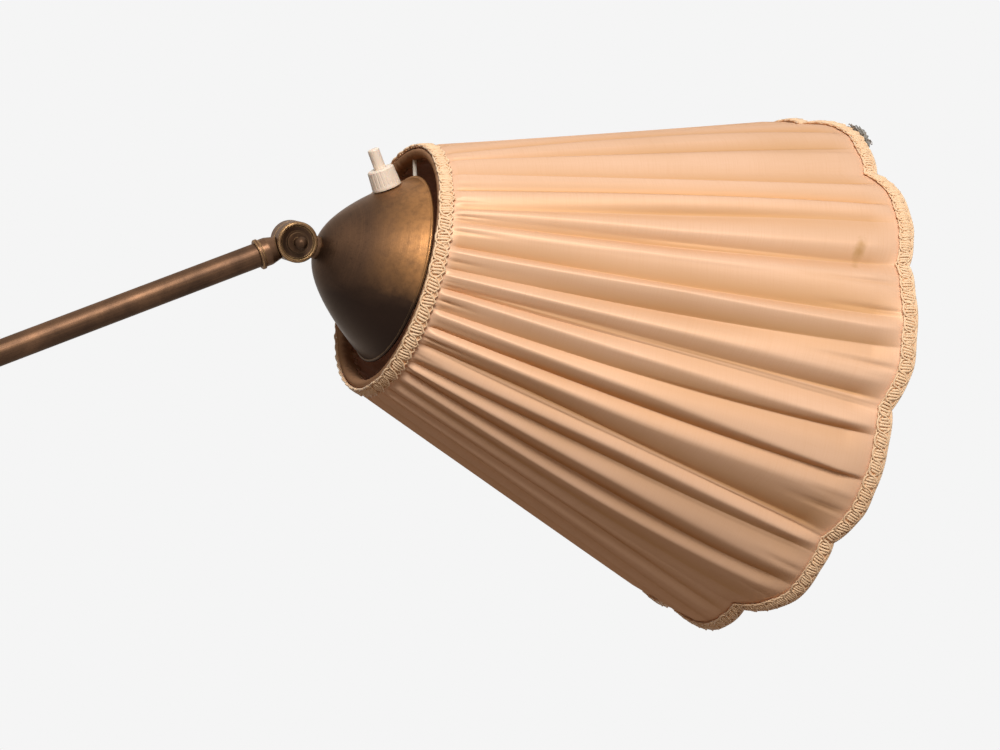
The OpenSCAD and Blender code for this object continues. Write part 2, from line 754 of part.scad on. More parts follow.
// The gathered cloth: held flat by the braid at both edges, folded between them
module shade_cloth() {
    n = 2 * folds;
    held = braid_share * 1.02;
    color(satin) head_frame() skin([
        shade_ring(n, 0, press), shade_ring(n, held, press), fold_ring(held * 2.4, 1),
        fold_ring(0.5, 0.85), fold_ring(1 - held * 2.4, 0.5), shade_ring(n, 1 - held, press),
        shade_ring(n, 1, press), shade_ring(n, 1, cloth_in), shade_ring(n, 0, cloth_in)]);
}

module top_braid() {
    over = 0.8;
    low = top_r - over * tan(cone) - (press - loose) / cos(cone);
    thick = (braid_t - 0.2) / cos(cone);
    climb = braid_w * sin(cone);
    run = braid_w * cos(cone);
    color(satin) head_frame() translate([0, 0, top_z - over]) rotate_extrude() polygon([
        [low, 0], [low + thick, 0], [low + thick + climb, run], [low + climb, run]]);
}

module mouth_braid() {
    n = 2 * folds;
    over = 1 + 0.8 / slant;
    in = press - loose;
    out = in - braid_t + 0.2;
    color(satin) head_frame() skin([
        shade_ring(n, over - braid_share, out), shade_ring(n, over, out),
        shade_ring(n, over, in), shade_ring(n, over - braid_share, in)]);
}

base_felt();
base_weight();
base_cover();
base_washer();
base_nut();
base_rod();
cord_grommet();
column_foot();
column_bush();
column_tube();
column_knuckle();
arm_pivot_screw();
arm_ball_nut();
arm_pivot_washer();
arm_foot_knuckle();
arm_tube();
arm_head_knuckle();
head_pivot_screw();
head_ball_nut();
head_pivot_washer();
head_knuckle();
dome();
dome_locknut();
lampholder_cap();
lampholder_body();
bulb_cap();
bulb_glass();
switch_body();
switch_nut();
switch_plunger();
shade_ring_lower();
shade_ring_upper();
shade_carrier();
shade_frame();
shade_lining();
shade_cloth();
top_braid();
mouth_braid();
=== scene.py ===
# Dresses a packed bridge floor lamp: patinated brass stand, arm and dome, and a gathered
# satin shade with scroll gimp round its two edges. Lengths in metres unless a name ends in _mm.
import random

import bpy
import numpy as np
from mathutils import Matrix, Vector


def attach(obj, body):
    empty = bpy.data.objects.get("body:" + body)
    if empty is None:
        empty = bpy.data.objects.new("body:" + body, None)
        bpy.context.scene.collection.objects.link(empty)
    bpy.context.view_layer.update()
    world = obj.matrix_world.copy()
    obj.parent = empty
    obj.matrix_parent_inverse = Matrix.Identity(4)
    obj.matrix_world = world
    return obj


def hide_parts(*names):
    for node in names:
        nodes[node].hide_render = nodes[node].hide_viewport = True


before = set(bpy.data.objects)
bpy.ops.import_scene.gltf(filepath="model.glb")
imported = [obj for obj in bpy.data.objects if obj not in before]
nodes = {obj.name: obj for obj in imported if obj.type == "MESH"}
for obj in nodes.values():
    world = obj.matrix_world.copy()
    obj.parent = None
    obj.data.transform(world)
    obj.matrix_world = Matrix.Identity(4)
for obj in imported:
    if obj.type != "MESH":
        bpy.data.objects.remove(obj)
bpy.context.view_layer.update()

# --- Camera, at the photograph's viewpoint ---
CAMERA_AT = (0.12118, -0.88935, 1.37292)
CAMERA_AIM = (0.37653, 0.91218, -0.16172)
SENSOR_WIDTH_MM, FOCAL_LENGTH_MM = 36, 57.15
NEAREST_SEEN = 0.02
camera_data = bpy.data.cameras.new("camera")
camera_data.sensor_width = SENSOR_WIDTH_MM
camera_data.lens = FOCAL_LENGTH_MM
camera_data.clip_start = NEAREST_SEEN
camera = bpy.data.objects.new("camera", camera_data)
camera.location = CAMERA_AT
camera.rotation_euler = Vector(CAMERA_AIM).to_track_quat("-Z", "Y").to_euler()
bpy.context.scene.collection.objects.link(camera)
bpy.context.scene.camera = camera
bpy.context.scene.view_settings.view_transform = "Standard"

# --- Frames of the head and the arm ---
HEAD_DROP = np.radians(17.1)
ARM_RISE = np.radians(18.6)
ARM_PIVOT = np.array([0.0, 0.0, 1.18])
HEAD_PIVOT = np.array([0.360152, 0.0, 1.301205])
HEAD_UP = np.array([np.sin(HEAD_DROP), 0.0, np.cos(HEAD_DROP)])
HEAD_NEAR = np.array([0.0, -1.0, 0.0])
HEAD_AXIS = np.array([np.cos(HEAD_DROP), 0.0, -np.sin(HEAD_DROP)])
ARM_AXIS = np.array([np.cos(ARM_RISE), 0.0, np.sin(ARM_RISE)])
ARM_UP = np.array([-np.sin(ARM_RISE), 0.0, np.cos(ARM_RISE)])
HEAD_AXES = (HEAD_UP, HEAD_NEAR, HEAD_AXIS)
ARM_AXES = (ARM_UP, HEAD_NEAR, ARM_AXIS)
WORLD_AXES = (np.array([1.0, 0, 0]), np.array([0, 1.0, 0]), np.array([0, 0, 1.0]))


def head_to_world(points_mm):
    """Points in mm in the head's frame, as rows, in metres in the row frame."""
    return HEAD_PIVOT + 0.001 * (points_mm @ np.array(HEAD_AXES))


# --- The shade's outline, as the source has it, in mm in the head's frame ---
TOP_Z, TOP_R = 58.0, 74.2
MOUTH_Z, MOUTH_R = 309.6, 163.8
SCALLOPS = 12
SCALLOP_DEPTH, BOW = 8.0, 4.0
HALF = np.pi / SCALLOPS
CONE = np.arctan2(MOUTH_R - TOP_R, MOUTH_Z - TOP_Z)
SLANT = np.hypot(MOUTH_R - TOP_R, MOUTH_Z - TOP_Z)
BRAID_W = 9.0
MOUTH_LEAN = np.radians(1.0)
# Angles of the ribs, of which one sits out of its place
RIB = 2 * HALF * np.arange(SCALLOPS + 1)
RIB[1] += np.radians(5.0)


def looped(values, x):
    """An endless row of values, one at each whole number, joined smoothly, at x."""
    k = np.floor(x).astype(int)
    u = x - k
    u = u * u * (3 - 2 * u)
    return values[k % len(values)] * (1 - u) + values[(k + 1) % len(values)] * u


# The scallops aren't quite alike: how much longer the cloth is than the even shape at each rib
# and in the middle of each scallop, with a few between, and how much further it bulges
LONGER = np.array([5.0, 1.5, -0.5, 0.3, 3.4, -1.2, 1.8, -0.3, 3.8, 1.3, -1.5, -0.3,
                   1.5, 1.0, 0.0, 0.8, -0.6, 0.5, 1.2, -0.6, 0.4, 1.0, 1.5, 5.0])
LONGER = looped(LONGER, np.arange(2 * len(LONGER)) / 2)
LONGER[[3, 6, 7, 9, 11]] += [-2.0, -0.8, -0.8, -1.6, 0.9]
LONGER[[13, 15, 17, 21, 25]] += [-1.3, 0.5, -1.6, -1.0, 1.5]
BULGE = np.zeros(24)
BULGE[0], BULGE[1], BULGE[12], BULGE[23] = 0.6, -1.5, -1.8, 2.0


def turned(p, angle):
    """Rows of points turned about the head's axis."""
    c, s = np.cos(angle), np.sin(angle)
    return np.stack([p[..., 0] * c - p[..., 1] * s, p[..., 0] * s + p[..., 1] * c, p[..., 2]], -1)


def shade_point(q, t, depth):
    """A point of the shade: q from 0 to 12 round it, whole between scallops, t from 0 at
    the top to 1 at the mouth, depth in mm below the folds."""
    q, t, depth = np.broadcast_arrays(np.asarray(q, float) % SCALLOPS, t, depth)
    k = np.minimum(np.floor(q).astype(int), SCALLOPS - 1)
    s = 2 * (q - k) - 1
    half, middle = (RIB[k + 1] - RIB[k]) / 2, (RIB[k + 1] + RIB[k]) / 2
    chord = MOUTH_R * np.sin(half)
    peak = (MOUTH_R * (1 - np.cos(half)) + SCALLOP_DEPTH * np.sin(CONE) + BOW * np.cos(CONE),
            SCALLOP_DEPTH * np.cos(CONE) - BOW * np.sin(CONE))
    rise = np.hypot(*peak)
    arc = (chord ** 2 + rise ** 2) / (2 * rise)
    drop = np.sqrt(arc ** 2 - (s * chord) ** 2) - (arc - rise)
    edge = np.stack([MOUTH_R * np.cos(half) + drop * peak[0] / rise, s * chord,
                     MOUTH_Z + drop * peak[1] / rise], -1)
    zero = np.zeros_like(s)
    top = turned(np.stack([zero + TOP_R, zero, zero + TOP_Z], -1), s * half)
    out = turned(np.stack([zero + np.cos(CONE), zero, zero - np.sin(CONE)], -1), s * half)
    side = turned(np.stack([zero + np.sin(CONE), zero, zero + np.cos(CONE)], -1), s * half)
    leaning = -MOUTH_R * np.tan(MOUTH_LEAN) / np.cos(CONE) * np.cos(middle + s * half)
    more = leaning + looped(LONGER, 4 * q)
    edge = edge + more[..., None] * side
    lift = looped(BULGE, 2 * q) * np.clip(t, 0, 1) ** 3 - depth
    p = top + (edge - top) * t[..., None] + lift[..., None] * out
    return turned(p, middle)


# --- Mesh helpers ---
def new_object(name, points, faces, body, materials, uv=None, face_slots=None):
    """A mesh object that rides on a body. uv gives a pair for each point."""
    mesh = bpy.data.meshes.new(name)
    mesh.from_pydata([tuple(p) for p in points], [], [tuple(f) for f in faces])
    if uv is not None:
        layer = mesh.uv_layers.new(name="cloth")
        corner = np.empty(len(mesh.loops), np.int32)
        mesh.loops.foreach_get("vertex_index", corner)
        layer.data.foreach_set("uv", np.asarray(uv, np.float32)[corner].ravel())
    for material in materials:
        mesh.materials.append(material)
    if face_slots is not None:
        mesh.polygons.foreach_set("material_index", np.asarray(face_slots, np.int32))
    mesh.polygons.foreach_set("use_smooth", [True] * len(mesh.polygons))
    mesh.validate()
    mesh.update()
    obj = bpy.data.objects.new(name, mesh)
    bpy.context.scene.collection.objects.link(obj)
    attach(obj, body)
    return obj


def grid_faces(rows, columns):
    """Quads through rows of points, of which the last column joins the first."""
    row = np.arange(rows - 1)[:, None] * columns
    column = np.arange(columns)[None, :]
    a = (row + column).ravel()
    b = (row + (column + 1) % columns).ravel()
    return np.stack([a, a + columns, b + columns, b], -1)


def tube(path, radius, sides, up, closed=False, squash=1.0, twist=0.0, ply=0.0):
    """Points and quads of a tube along a path. up gives a side direction for each point.
    squash flattens it along up; ply and twist give it the ridges of a twisted yarn."""
    path, up = np.asarray(path), np.asarray(up)
    if closed:
        ahead = np.roll(path, -1, 0) - np.roll(path, 1, 0)
    else:
        ahead = np.gradient(path, axis=0)
    ahead /= np.linalg.norm(ahead, axis=1)[:, None]
    side = np.cross(ahead, up)
    side /= np.linalg.norm(side, axis=1)[:, None]
    out = np.cross(side, ahead)
    run = np.concatenate([[0], np.cumsum(np.linalg.norm(np.diff(path, axis=0), axis=1))])
    radius = np.broadcast_to(radius, len(path))
    angle = 2 * np.pi * np.arange(sides) / sides
    bump = 1 + ply * np.cos(2 * angle[None, :] - (twist * run)[:, None])
    ring = (np.cos(angle)[None, :, None] * side[:, None]
            + squash * np.sin(angle)[None, :, None] * out[:, None])
    ring = (radius[:, None] * bump)[..., None] * ring
    points = (path[:, None] + ring).reshape(-1, 3)
    n = len(path)
    faces = []
    for i in range(n if closed else n - 1):
        a, b = i * sides, ((i + 1) % n) * sides
        for j in range(sides):
            k = (j + 1) % sides
            faces.append((a + j, a + k, b + k, b + j))
    if not closed:
        faces.append(tuple(range(sides))[::-1])
        faces.append(tuple((n - 1) * sides + j for j in range(sides)))
    return points, faces


class Soup:
    """Gathers several tubes or grids into one mesh."""

    def __init__(self):
        self.points, self.faces, self.slots, self.count = [], [], [], 0

    def take(self, points, faces, slot=0):
        self.points.append(points)
        self.faces += [tuple(int(i) + self.count for i in f) for f in faces]
        self.slots += [slot] * len(faces)
        self.count += len(points)


# --- Material helpers ---
def add(tree, kind, inputs=None, **settings):
    """A shader node with its settings, values and links."""
    n = tree.nodes.new("ShaderNode" + kind)
    for key, value in settings.items():
        setattr(n, key, value)
    for key, value in (inputs or {}).items():
        socket = n.inputs[key]
        if isinstance(value, bpy.types.NodeSocket):
            tree.links.new(value, socket)
        else:
            socket.default_value = value
    return n


def blend_color(tree, factor, a, b):
    return add(tree, "Mix", {0: factor, 6: a, 7: b}, data_type="RGBA").outputs[2]


def maths(tree, operation, *values, clamp=False):
    inputs = dict(enumerate(values))
    return add(tree, "Math", inputs, operation=operation, use_clamp=clamp).outputs[0]


def times(tree, a, b, clamp=False):
    return maths(tree, "MULTIPLY", a, b, clamp=clamp)


def weighted(tree, first, share, second):
    """A share of the first value, and the rest of the second."""
    return maths(tree, "ADD", times(tree, first, share), times(tree, second, 1 - share))


def tinted(tree, color, factor, share, tone):
    """The color, moved towards a tone by up to a share where the factor is 1."""
    return blend_color(tree, times(tree, factor, share), color, tone)


def noise(tree, vector, scale, detail=2.0, roughness=0.5, distortion=0.0):
    return add(tree, "TexNoise", {"Vector": vector, "Scale": scale, "Detail": detail,
               "Roughness": roughness, "Distortion": distortion}).outputs["Fac"]


def spread(tree, value, low, high, a=0.0, b=1.0):
    """value from low..high to a..b, held inside a..b."""
    return add(tree, "MapRange", {0: value, 1: low, 2: high, 3: a, 4: b}).outputs[0]


def dot(tree, a, b):
    return add(tree, "VectorMath", {0: a, 1: b}, operation="DOT_PRODUCT").outputs["Value"]


def length(tree, vector):
    return add(tree, "VectorMath", {0: vector}, operation="LENGTH").outputs["Value"]


def local_point(tree, origin, axes):
    """The place on the object in a frame of its own, in metres, as x, y, z and a vector."""
    place = add(tree, "TexCoord").outputs["Object"]
    moved = add(tree, "VectorMath", {0: place, 1: tuple(origin)}, operation="SUBTRACT").outputs[0]
    part = [dot(tree, moved, tuple(axis)) for axis in axes]
    vector = add(tree, "CombineXYZ", {0: part[0], 1: part[1], 2: part[2]}).outputs[0]
    return part, vector


def stretched(tree, vector, scales):
    return add(tree, "VectorMath", {0: vector, 1: scales}, operation="MULTIPLY").outputs[0]


def new_material(name):
    material = bpy.data.materials.new(name)
    material.use_nodes = True
    tree = material.node_tree
    tree.nodes.clear()
    shader = add(tree, "BsdfPrincipled")
    out = add(tree, "OutputMaterial", {"Surface": shader.outputs[0]})
    return material, tree, shader, out


def set_shader(tree, shader, **inputs):
    """Sets or links the shader's sockets; an underscore stands for a space."""
    for key, value in inputs.items():
        socket = shader.inputs[key.replace("_", " ")]
        if isinstance(value, bpy.types.NodeSocket):
            tree.links.new(value, socket)
        else:
            socket.default_value = value


def bumped(tree, height, strength, distance, normal=None):
    inputs = {"Height": height, "Strength": strength, "Distance": distance}
    if normal is not None:
        inputs["Normal"] = normal
    return add(tree, "Bump", inputs).outputs[0]


def edge_wear(tree, radius):
    """About 1 on sharp edges and 0 elsewhere, and a normal that rounds those edges."""
    soft = add(tree, "Bevel", {"Radius": radius}, samples=4).outputs[0]
    flat = add(tree, "NewGeometry").outputs["Normal"]
    return spread(tree, dot(tree, soft, flat), 0.995, 0.86), soft


def rgb(r, g, b):
    return (r, g, b, 1.0)


# --- Brass: lacquer long gone, brown patina, brighter where it is touched or rubbed; painted shade below, painted highlight near the rim ---
# Patina in its deep and plain places, on the lines of the tool and on the fine grain
PATINA_DEEP, PATINA_PLAIN = (0.066, 0.036, 0.022), (0.152, 0.079, 0.043)
PATINA_LINE, PATINA_GRAIN = (0.24, 0.123, 0.060), (0.050, 0.027, 0.016)
# Dirt in spots, painted shade on the lower side, and dirt in a dish
DIRT_SPOT, PAINTED_SHADE_BELOW, DIRT_DISH = ((0.035, 0.020, 0.013), (0.020, 0.0105, 0.0072),
                                    (0.030, 0.0165, 0.0105))
# Brass under worn patina, laid on partly as a painted highlight, and brass rubbed bare
WORN_AND_PAINTED_HIGHLIGHT, RUBBED_BARE = (0.54, 0.250, 0.085), (0.62, 0.38, 0.17)


def brass(name, origin, axes, spun=True, line=1.0, dark=1.0, worn=0.5, sides=None,
          edge_width=0.0006, lined=0.35, dish=None, golden=None):
    """spun: fine rings round the frame's third axis; otherwise lines along it. line makes them
    finer and lined stronger. sides gives the places on the first axis between which a painted
    shade goes from dark below to none above. dish is the radius within which dirt has stayed,
    golden the places on the third axis between which the patina is worn, lighter on the upper
    side, partly as a painted highlight."""
    material, tree, shader, _ = new_material(name)
    (x, y, z), place = local_point(tree, origin, axes)
    clouds = noise(tree, place, 38, 5, 0.6, 0.4)
    blots = noise(tree, place, 230, 4, 0.65)
    if spun:
        flat = add(tree, "CombineXYZ", {0: x, 1: y}).outputs[0]
        radial = length(tree, flat)
        run = maths(tree, "ADD", z, radial)
        fine, broad = [
            add(tree, "TexNoise", {"W": run, "Scale": scale * line, "Detail": detail},
                noise_dimensions="1D").outputs["Fac"]
            for scale, detail in ((1900, 3.0), (420, 2.0))]
    else:
        fine = noise(tree, stretched(tree, place, (900, 900, 22)), 1.0, 3)
        broad = noise(tree, stretched(tree, place, (260, 260, 9)), 1.0, 2)
    lines = weighted(tree, fine, 0.75, broad)
    edge, soft_normal = edge_wear(tree, edge_width)

    def darkened(tone):
        return rgb(*(part * dark for part in tone))

    patina = blend_color(tree, spread(tree, clouds, 0.3, 0.72), darkened(PATINA_DEEP),
                         darkened(PATINA_PLAIN))
    patina = tinted(tree, patina, spread(tree, lines, 0.42, 0.68), lined, darkened(PATINA_LINE))
    grain = noise(tree, place, 900, 3, 0.7)
    patina = tinted(tree, patina, spread(tree, grain, 0.52, 0.72), 0.40, darkened(PATINA_GRAIN))
    patina = tinted(tree, patina, spread(tree, blots, 0.6, 0.78), 0.45, rgb(*DIRT_SPOT))
    # Painted shade: the patina is darkened towards the lower side of the first axis
    if sides is not None:
        uneven = maths(tree, "ADD", x, times(tree, clouds, 0.012))
        below = spread(tree, uneven, sides[0], sides[1], 0.95, 0.0)
        patina = blend_color(tree, below, patina, rgb(*PAINTED_SHADE_BELOW))
    # Worn patina near the dome's rim, lighter on the upper side: partly a painted highlight
    if golden is not None:
        uneven = maths(tree, "ADD", x, times(tree, clouds, 0.02))
        worn_and_highlight = times(tree, spread(tree, z, golden[0], golden[1]),
                     spread(tree, uneven, -0.004, 0.016))
        worn_and_highlight = times(tree, worn_and_highlight, spread(tree, blots, 0.25, 0.6, 0.30, 0.70))
        patina = blend_color(tree, worn_and_highlight, patina, rgb(*WORN_AND_PAINTED_HIGHLIGHT))
    if dish is not None:
        patina = blend_color(tree, spread(tree, radial, dish, dish - 0.0012, 0.0, 0.62), patina,
                             rgb(*DIRT_DISH))
    rubbed = times(tree, times(tree, edge, spread(tree, blots, 0.3, 0.6, 0.35, 1.0)), worn,
                   clamp=True)
    color = blend_color(tree, rubbed, patina, rgb(*RUBBED_BARE))
    dull, bright = (0.46, 0.33) if spun else (0.52, 0.42)
    set_shader(tree, shader, Base_Color=color, Metallic=0.75,
               Roughness=spread(tree, weighted(tree, clouds, 0.7, lines), 0.3, 0.7, dull, bright),
               Normal=bumped(tree, weighted(tree, lines, 0.7, blots), 0.18, 0.0003, soft_normal),
               Specular_IOR_Level=0.3, Specular_Tint=rgb(0.76, 0.66, 0.58))
    return material


def plain(name, color_a, color_b, rough, metallic=0.0, scale=300, bump=0.1, depth=0.0002,
          wear=None, **constants):
    """A finish of two close tones in fine blotches, with edges worn to a third tone."""
    material, tree, shader, _ = new_material(name)
    _, place = local_point(tree, (0, 0, 0), WORLD_AXES)
    spots = noise(tree, place, scale, 4, 0.6)
    wide = noise(tree, place, scale / 7, 3)
    tone = weighted(tree, spots, 0.5, wide)
    color = blend_color(tree, spread(tree, tone, 0.35, 0.65), rgb(*color_a), rgb(*color_b))
    edge, soft_normal = edge_wear(tree, 0.0005)
    if wear is not None:
        color = tinted(tree, color, edge, 0.6, rgb(*wear))
    set_shader(tree, shader, Base_Color=color, Metallic=metallic,
               Roughness=spread(tree, tone, 0.3, 0.7, rough - 0.06, rough + 0.06),
               Normal=bumped(tree, spots, bump, depth, soft_normal), **constants)
    return material


DOME_CROWN = HEAD_PIVOT + 0.0144 * HEAD_AXIS
DISH_R = 0.0098
ARM_KNUCKLE_AXES = (ARM_UP, ARM_AXIS, HEAD_NEAR)
HEAD_KNUCKLE_AXES = (HEAD_UP, HEAD_AXIS, HEAD_NEAR)
brass_dome = brass("brass_dome", DOME_CROWN, HEAD_AXES, line=0.8, dark=0.85, worn=0.45,
                   sides=(-0.017, 0.017), lined=0.18, golden=(0.018, 0.046))
brass_arm = brass("brass_arm", ARM_PIVOT, ARM_AXES, spun=False, sides=(-0.006, 0.009))
brass_arm_knuckle = brass("brass_arm_knuckle", HEAD_PIVOT, ARM_KNUCKLE_AXES, line=1.2, worn=1.2,
                          edge_width=0.0010)
brass_head_knuckle = brass("brass_head_knuckle", HEAD_PIVOT, HEAD_KNUCKLE_AXES, line=1.2,
                           worn=1.6, edge_width=0.0011, dish=DISH_R)
brass_low_knuckle = brass("brass_low_knuckle", ARM_PIVOT, ARM_KNUCKLE_AXES, line=1.2, dark=0.75,
                          worn=1.2, edge_width=0.0011, dish=DISH_R)
brass_nut = brass("brass_nut", (0, 0, 0), WORLD_AXES, spun=False, dark=0.55, worn=0.25)
brass_column = brass("brass_column", (0, 0, 0), WORLD_AXES, spun=False)
brass_base = brass("brass_base", (0, 0, 0), WORLD_AXES, line=0.55, worn=0.6)

# The other finishes, each with its two tones and its roughness first
iron = plain("iron", (0.035, 0.034, 0.033), (0.055, 0.052, 0.05), 0.65, metallic=0.2, scale=180,
             bump=0.4, depth=0.0006, wear=(0.09, 0.07, 0.055))
plated_steel = plain("plated_steel", (0.46, 0.46, 0.47), (0.62, 0.61, 0.60), 0.34, metallic=1.0,
                     scale=260, bump=0.08, wear=(0.72, 0.71, 0.7))
spring_steel = plain("spring_steel", (0.20, 0.20, 0.21), (0.30, 0.29, 0.29), 0.38, metallic=1.0,
                     bump=0.08)
dark_plastic = plain("dark_plastic", (0.020, 0.015, 0.012), (0.034, 0.026, 0.020), 0.38,
                     scale=240, wear=(0.06, 0.045, 0.035))
cap_metal = plain("lamp_cap_metal", (0.60, 0.60, 0.61), (0.72, 0.72, 0.73), 0.30, metallic=1.0,
                  scale=200, bump=0.06)
cream_plastic = plain("cream_plastic", (0.90, 0.74, 0.60), (0.94, 0.80, 0.67), 0.36, scale=420,
                      bump=0.06, depth=0.0001, wear=(0.90, 0.80, 0.70), Subsurface_Weight=0.15,
                      Subsurface_Radius=(0.002, 0.0012, 0.0008))
painted_wire = plain("painted_wire", (0.74, 0.66, 0.55), (0.82, 0.76, 0.66), 0.42, scale=500,
                     bump=0.2, wear=(0.30, 0.24, 0.18))
frame_wire = plain("frame_wire", (0.12, 0.066, 0.042), (0.18, 0.100, 0.062), 0.72, scale=500,
                   bump=0.15)
opal_glass = plain("opal_glass", (0.86, 0.85, 0.82), (0.89, 0.88, 0.86), 0.22, scale=60, bump=0.0,
                   depth=0.0001, Coat_Weight=0.6, Coat_Roughness=0.08, Subsurface_Weight=0.3,
                   Subsurface_Radius=(0.006, 0.006, 0.005))

FINISHES = {
    brass_dome: ["dome"],
    brass_arm: ["arm_tube"],
    brass_arm_knuckle: ["arm_head_knuckle"],
    brass_head_knuckle: ["head_knuckle", "head_pivot_screw"],
    brass_low_knuckle: ["arm_foot_knuckle", "column_knuckle", "arm_pivot_screw"],
    brass_nut: ["head_ball_nut", "arm_ball_nut"],
    brass_column: ["column_tube"],
    brass_base: ["base_cover", "column_foot"],
    iron: ["base_weight"],
    plated_steel: ["base_washer", "base_nut", "base_rod", "dome_locknut", "column_bush"],
    spring_steel: ["arm_pivot_washer", "head_pivot_washer"],
    dark_plastic: ["cord_grommet", "lampholder_cap", "lampholder_body", "shade_ring_lower",
                   "shade_ring_upper"],
    cap_metal: ["bulb_cap"],
    cream_plastic: ["switch_body", "switch_nut", "switch_plunger"],
    painted_wire: ["shade_carrier"],
    frame_wire: ["shade_frame"],
    opal_glass: ["bulb_glass"],
}
for finish, names in FINISHES.items():
    for name in names:
        mesh = nodes[name].data
        mesh.materials.clear()
        mesh.materials.append(finish)


# --- Cloth materials ---
# The satin's two tones, its thicker threads, the painted shade in its folds and its inner side
SATIN_LIGHT, SATIN_WARM = (0.83, 0.535, 0.360), (0.79, 0.500, 0.322)
SLUB_TONE, PICK_TONE = (0.68, 0.36, 0.18), (0.70, 0.385, 0.205)
FOLD_SHADE_TONE, INNER_SOIL_AND_SHADE = (0.62, 0.330, 0.135), (0.29, 0.150, 0.078)
# A small brown stain near the mouth: where, in the shade's terms, and how much longer than wide
STAIN_Q, STAIN_T, STAIN_TONE = 1.94, 0.885, (0.50, 0.275, 0.10)
STAIN_SQUEEZE = 0.66


def satin_material():
    material, tree, shader, _ = new_material("satin")
    flat = add(tree, "UVMap", uv_map="cloth").outputs[0]
    _, place = local_point(tree, HEAD_PIVOT, HEAD_AXES)
    clouds = noise(tree, place, 14, 3, 0.5)
    slubs = noise(tree, stretched(tree, flat, (1500, 60, 1)), 1.0, 2)
    weft = noise(tree, stretched(tree, flat, (90, 2600, 1)), 1.0, 2)
    picks = noise(tree, stretched(tree, flat, (26, 1250, 1)), 1.0, 3, 0.6)
    painted_fold_shade = add(tree, "Attribute", attribute_name="painted_fold_shade").outputs["Fac"]
    color = blend_color(tree, spread(tree, clouds, 0.35, 0.7), rgb(*SATIN_LIGHT), rgb(*SATIN_WARM))
    color = tinted(tree, color, spread(tree, slubs, 0.5, 0.75), 0.10, rgb(*SLUB_TONE))
    # Painted shade: the cloth is darkened where it lies deep in the folds
    color = tinted(tree, color, painted_fold_shade, 0.80, rgb(*FOLD_SHADE_TONE))
    color = tinted(tree, color, spread(tree, picks, 0.46, 0.70), 0.20, rgb(*PICK_TONE))

    # The stain, squeezed along the way round the shade
    stain_at, side_by = shade_point([STAIN_Q, STAIN_Q + 0.05], STAIN_T, 0.0) * 0.001
    tangent = tuple((side_by - stain_at) / np.linalg.norm(side_by - stain_at))
    gap = add(tree, "VectorMath", {0: place, 1: tuple(stain_at)}, operation="SUBTRACT").outputs[0]
    run = times(tree, dot(tree, gap, tangent), STAIN_SQUEEZE)
    around = add(tree, "VectorMath", {0: tangent, "Scale": run}, operation="SCALE").outputs[0]
    close = add(tree, "VectorMath", {0: gap, 1: around}, operation="SUBTRACT").outputs[0]
    edge = times(tree, noise(tree, place, 330, 3), 0.0040)
    ragged = maths(tree, "ADD", length(tree, close), edge)
    color = blend_color(tree, spread(tree, ragged, 0.0062, 0.0026, 0.0, 0.75), color,
                        rgb(*STAIN_TONE))

    # The edge turned in at the top has its second coordinate below zero; it is darkened, partly as
    # soil and mostly as painted shade
    along = add(tree, "SeparateXYZ", {0: flat}).outputs[1]
    color = blend_color(tree, spread(tree, along, -0.0006, -0.0030, 0.0, 0.92), color,
                        rgb(*INNER_SOIL_AND_SHADE))
    weave = weighted(tree, slubs, 0.5, weft)
    set_shader(tree, shader, Base_Color=color, Metallic=0.13,
               Roughness=spread(tree, weave, 0.3, 0.7, 0.42, 0.50),
               Normal=bumped(tree, weave, 0.10, 0.0002), Specular_IOR_Level=0.0,
               Specular_Tint=rgb(0.75, 0.60, 0.48))
    return material


def yarn(name, tone, other, deep):
    material, tree, shader, _ = new_material(name)
    _, place = local_point(tree, HEAD_PIVOT, HEAD_AXES)
    hairs = noise(tree, place, 2300, 3, 0.6)
    clouds = noise(tree, place, 60, 2)
    color = blend_color(tree, spread(tree, clouds, 0.3, 0.7), rgb(*tone), rgb(*other))
    color = tinted(tree, color, spread(tree, hairs, 0.50, 0.34), 0.35, rgb(*deep))
    set_shader(tree, shader, Base_Color=color, Roughness=0.5, Sheen_Weight=0.25,
               Sheen_Roughness=0.5, Normal=bumped(tree, hairs, 0.5, 0.0003))
    return material


def weave_material(name, tone, other, rough):
    material, tree, shader, _ = new_material(name)
    flat = add(tree, "UVMap", uv_map="cloth").outputs[0]
    warp = noise(tree, stretched(tree, flat, (1400, 160, 1)), 1.0, 2)
    weft = noise(tree, stretched(tree, flat, (160, 1400, 1)), 1.0, 2)
    both = times(tree, warp, weft)
    color = blend_color(tree, spread(tree, both, 0.12, 0.4), rgb(*tone), rgb(*other))
    set_shader(tree, shader, Base_Color=color, Roughness=rough, Sheen_Weight=0.1,
               Normal=bumped(tree, both, 0.3, 0.0003))
    return material


def felt_material():
    material, tree, shader, _ = new_material("felt")
    _, place = local_point(tree, (0, 0, 0), WORLD_AXES)
    fibres = noise(tree, place, 1600, 5, 0.7, 0.6)
    clouds = noise(tree, place, 40, 3)
    color = blend_color(tree, spread(tree, clouds, 0.3, 0.7), rgb(0.030, 0.052, 0.034),
                        rgb(0.045, 0.072, 0.047))
    color = tinted(tree, color, spread(tree, fibres, 0.5, 0.75), 0.5, rgb(0.10, 0.13, 0.10))
    set_shader(tree, shader, Base_Color=color, Roughness=0.92, Sheen_Weight=0.3,
               Normal=bumped(tree, fibres, 0.6, 0.0004))
    return material


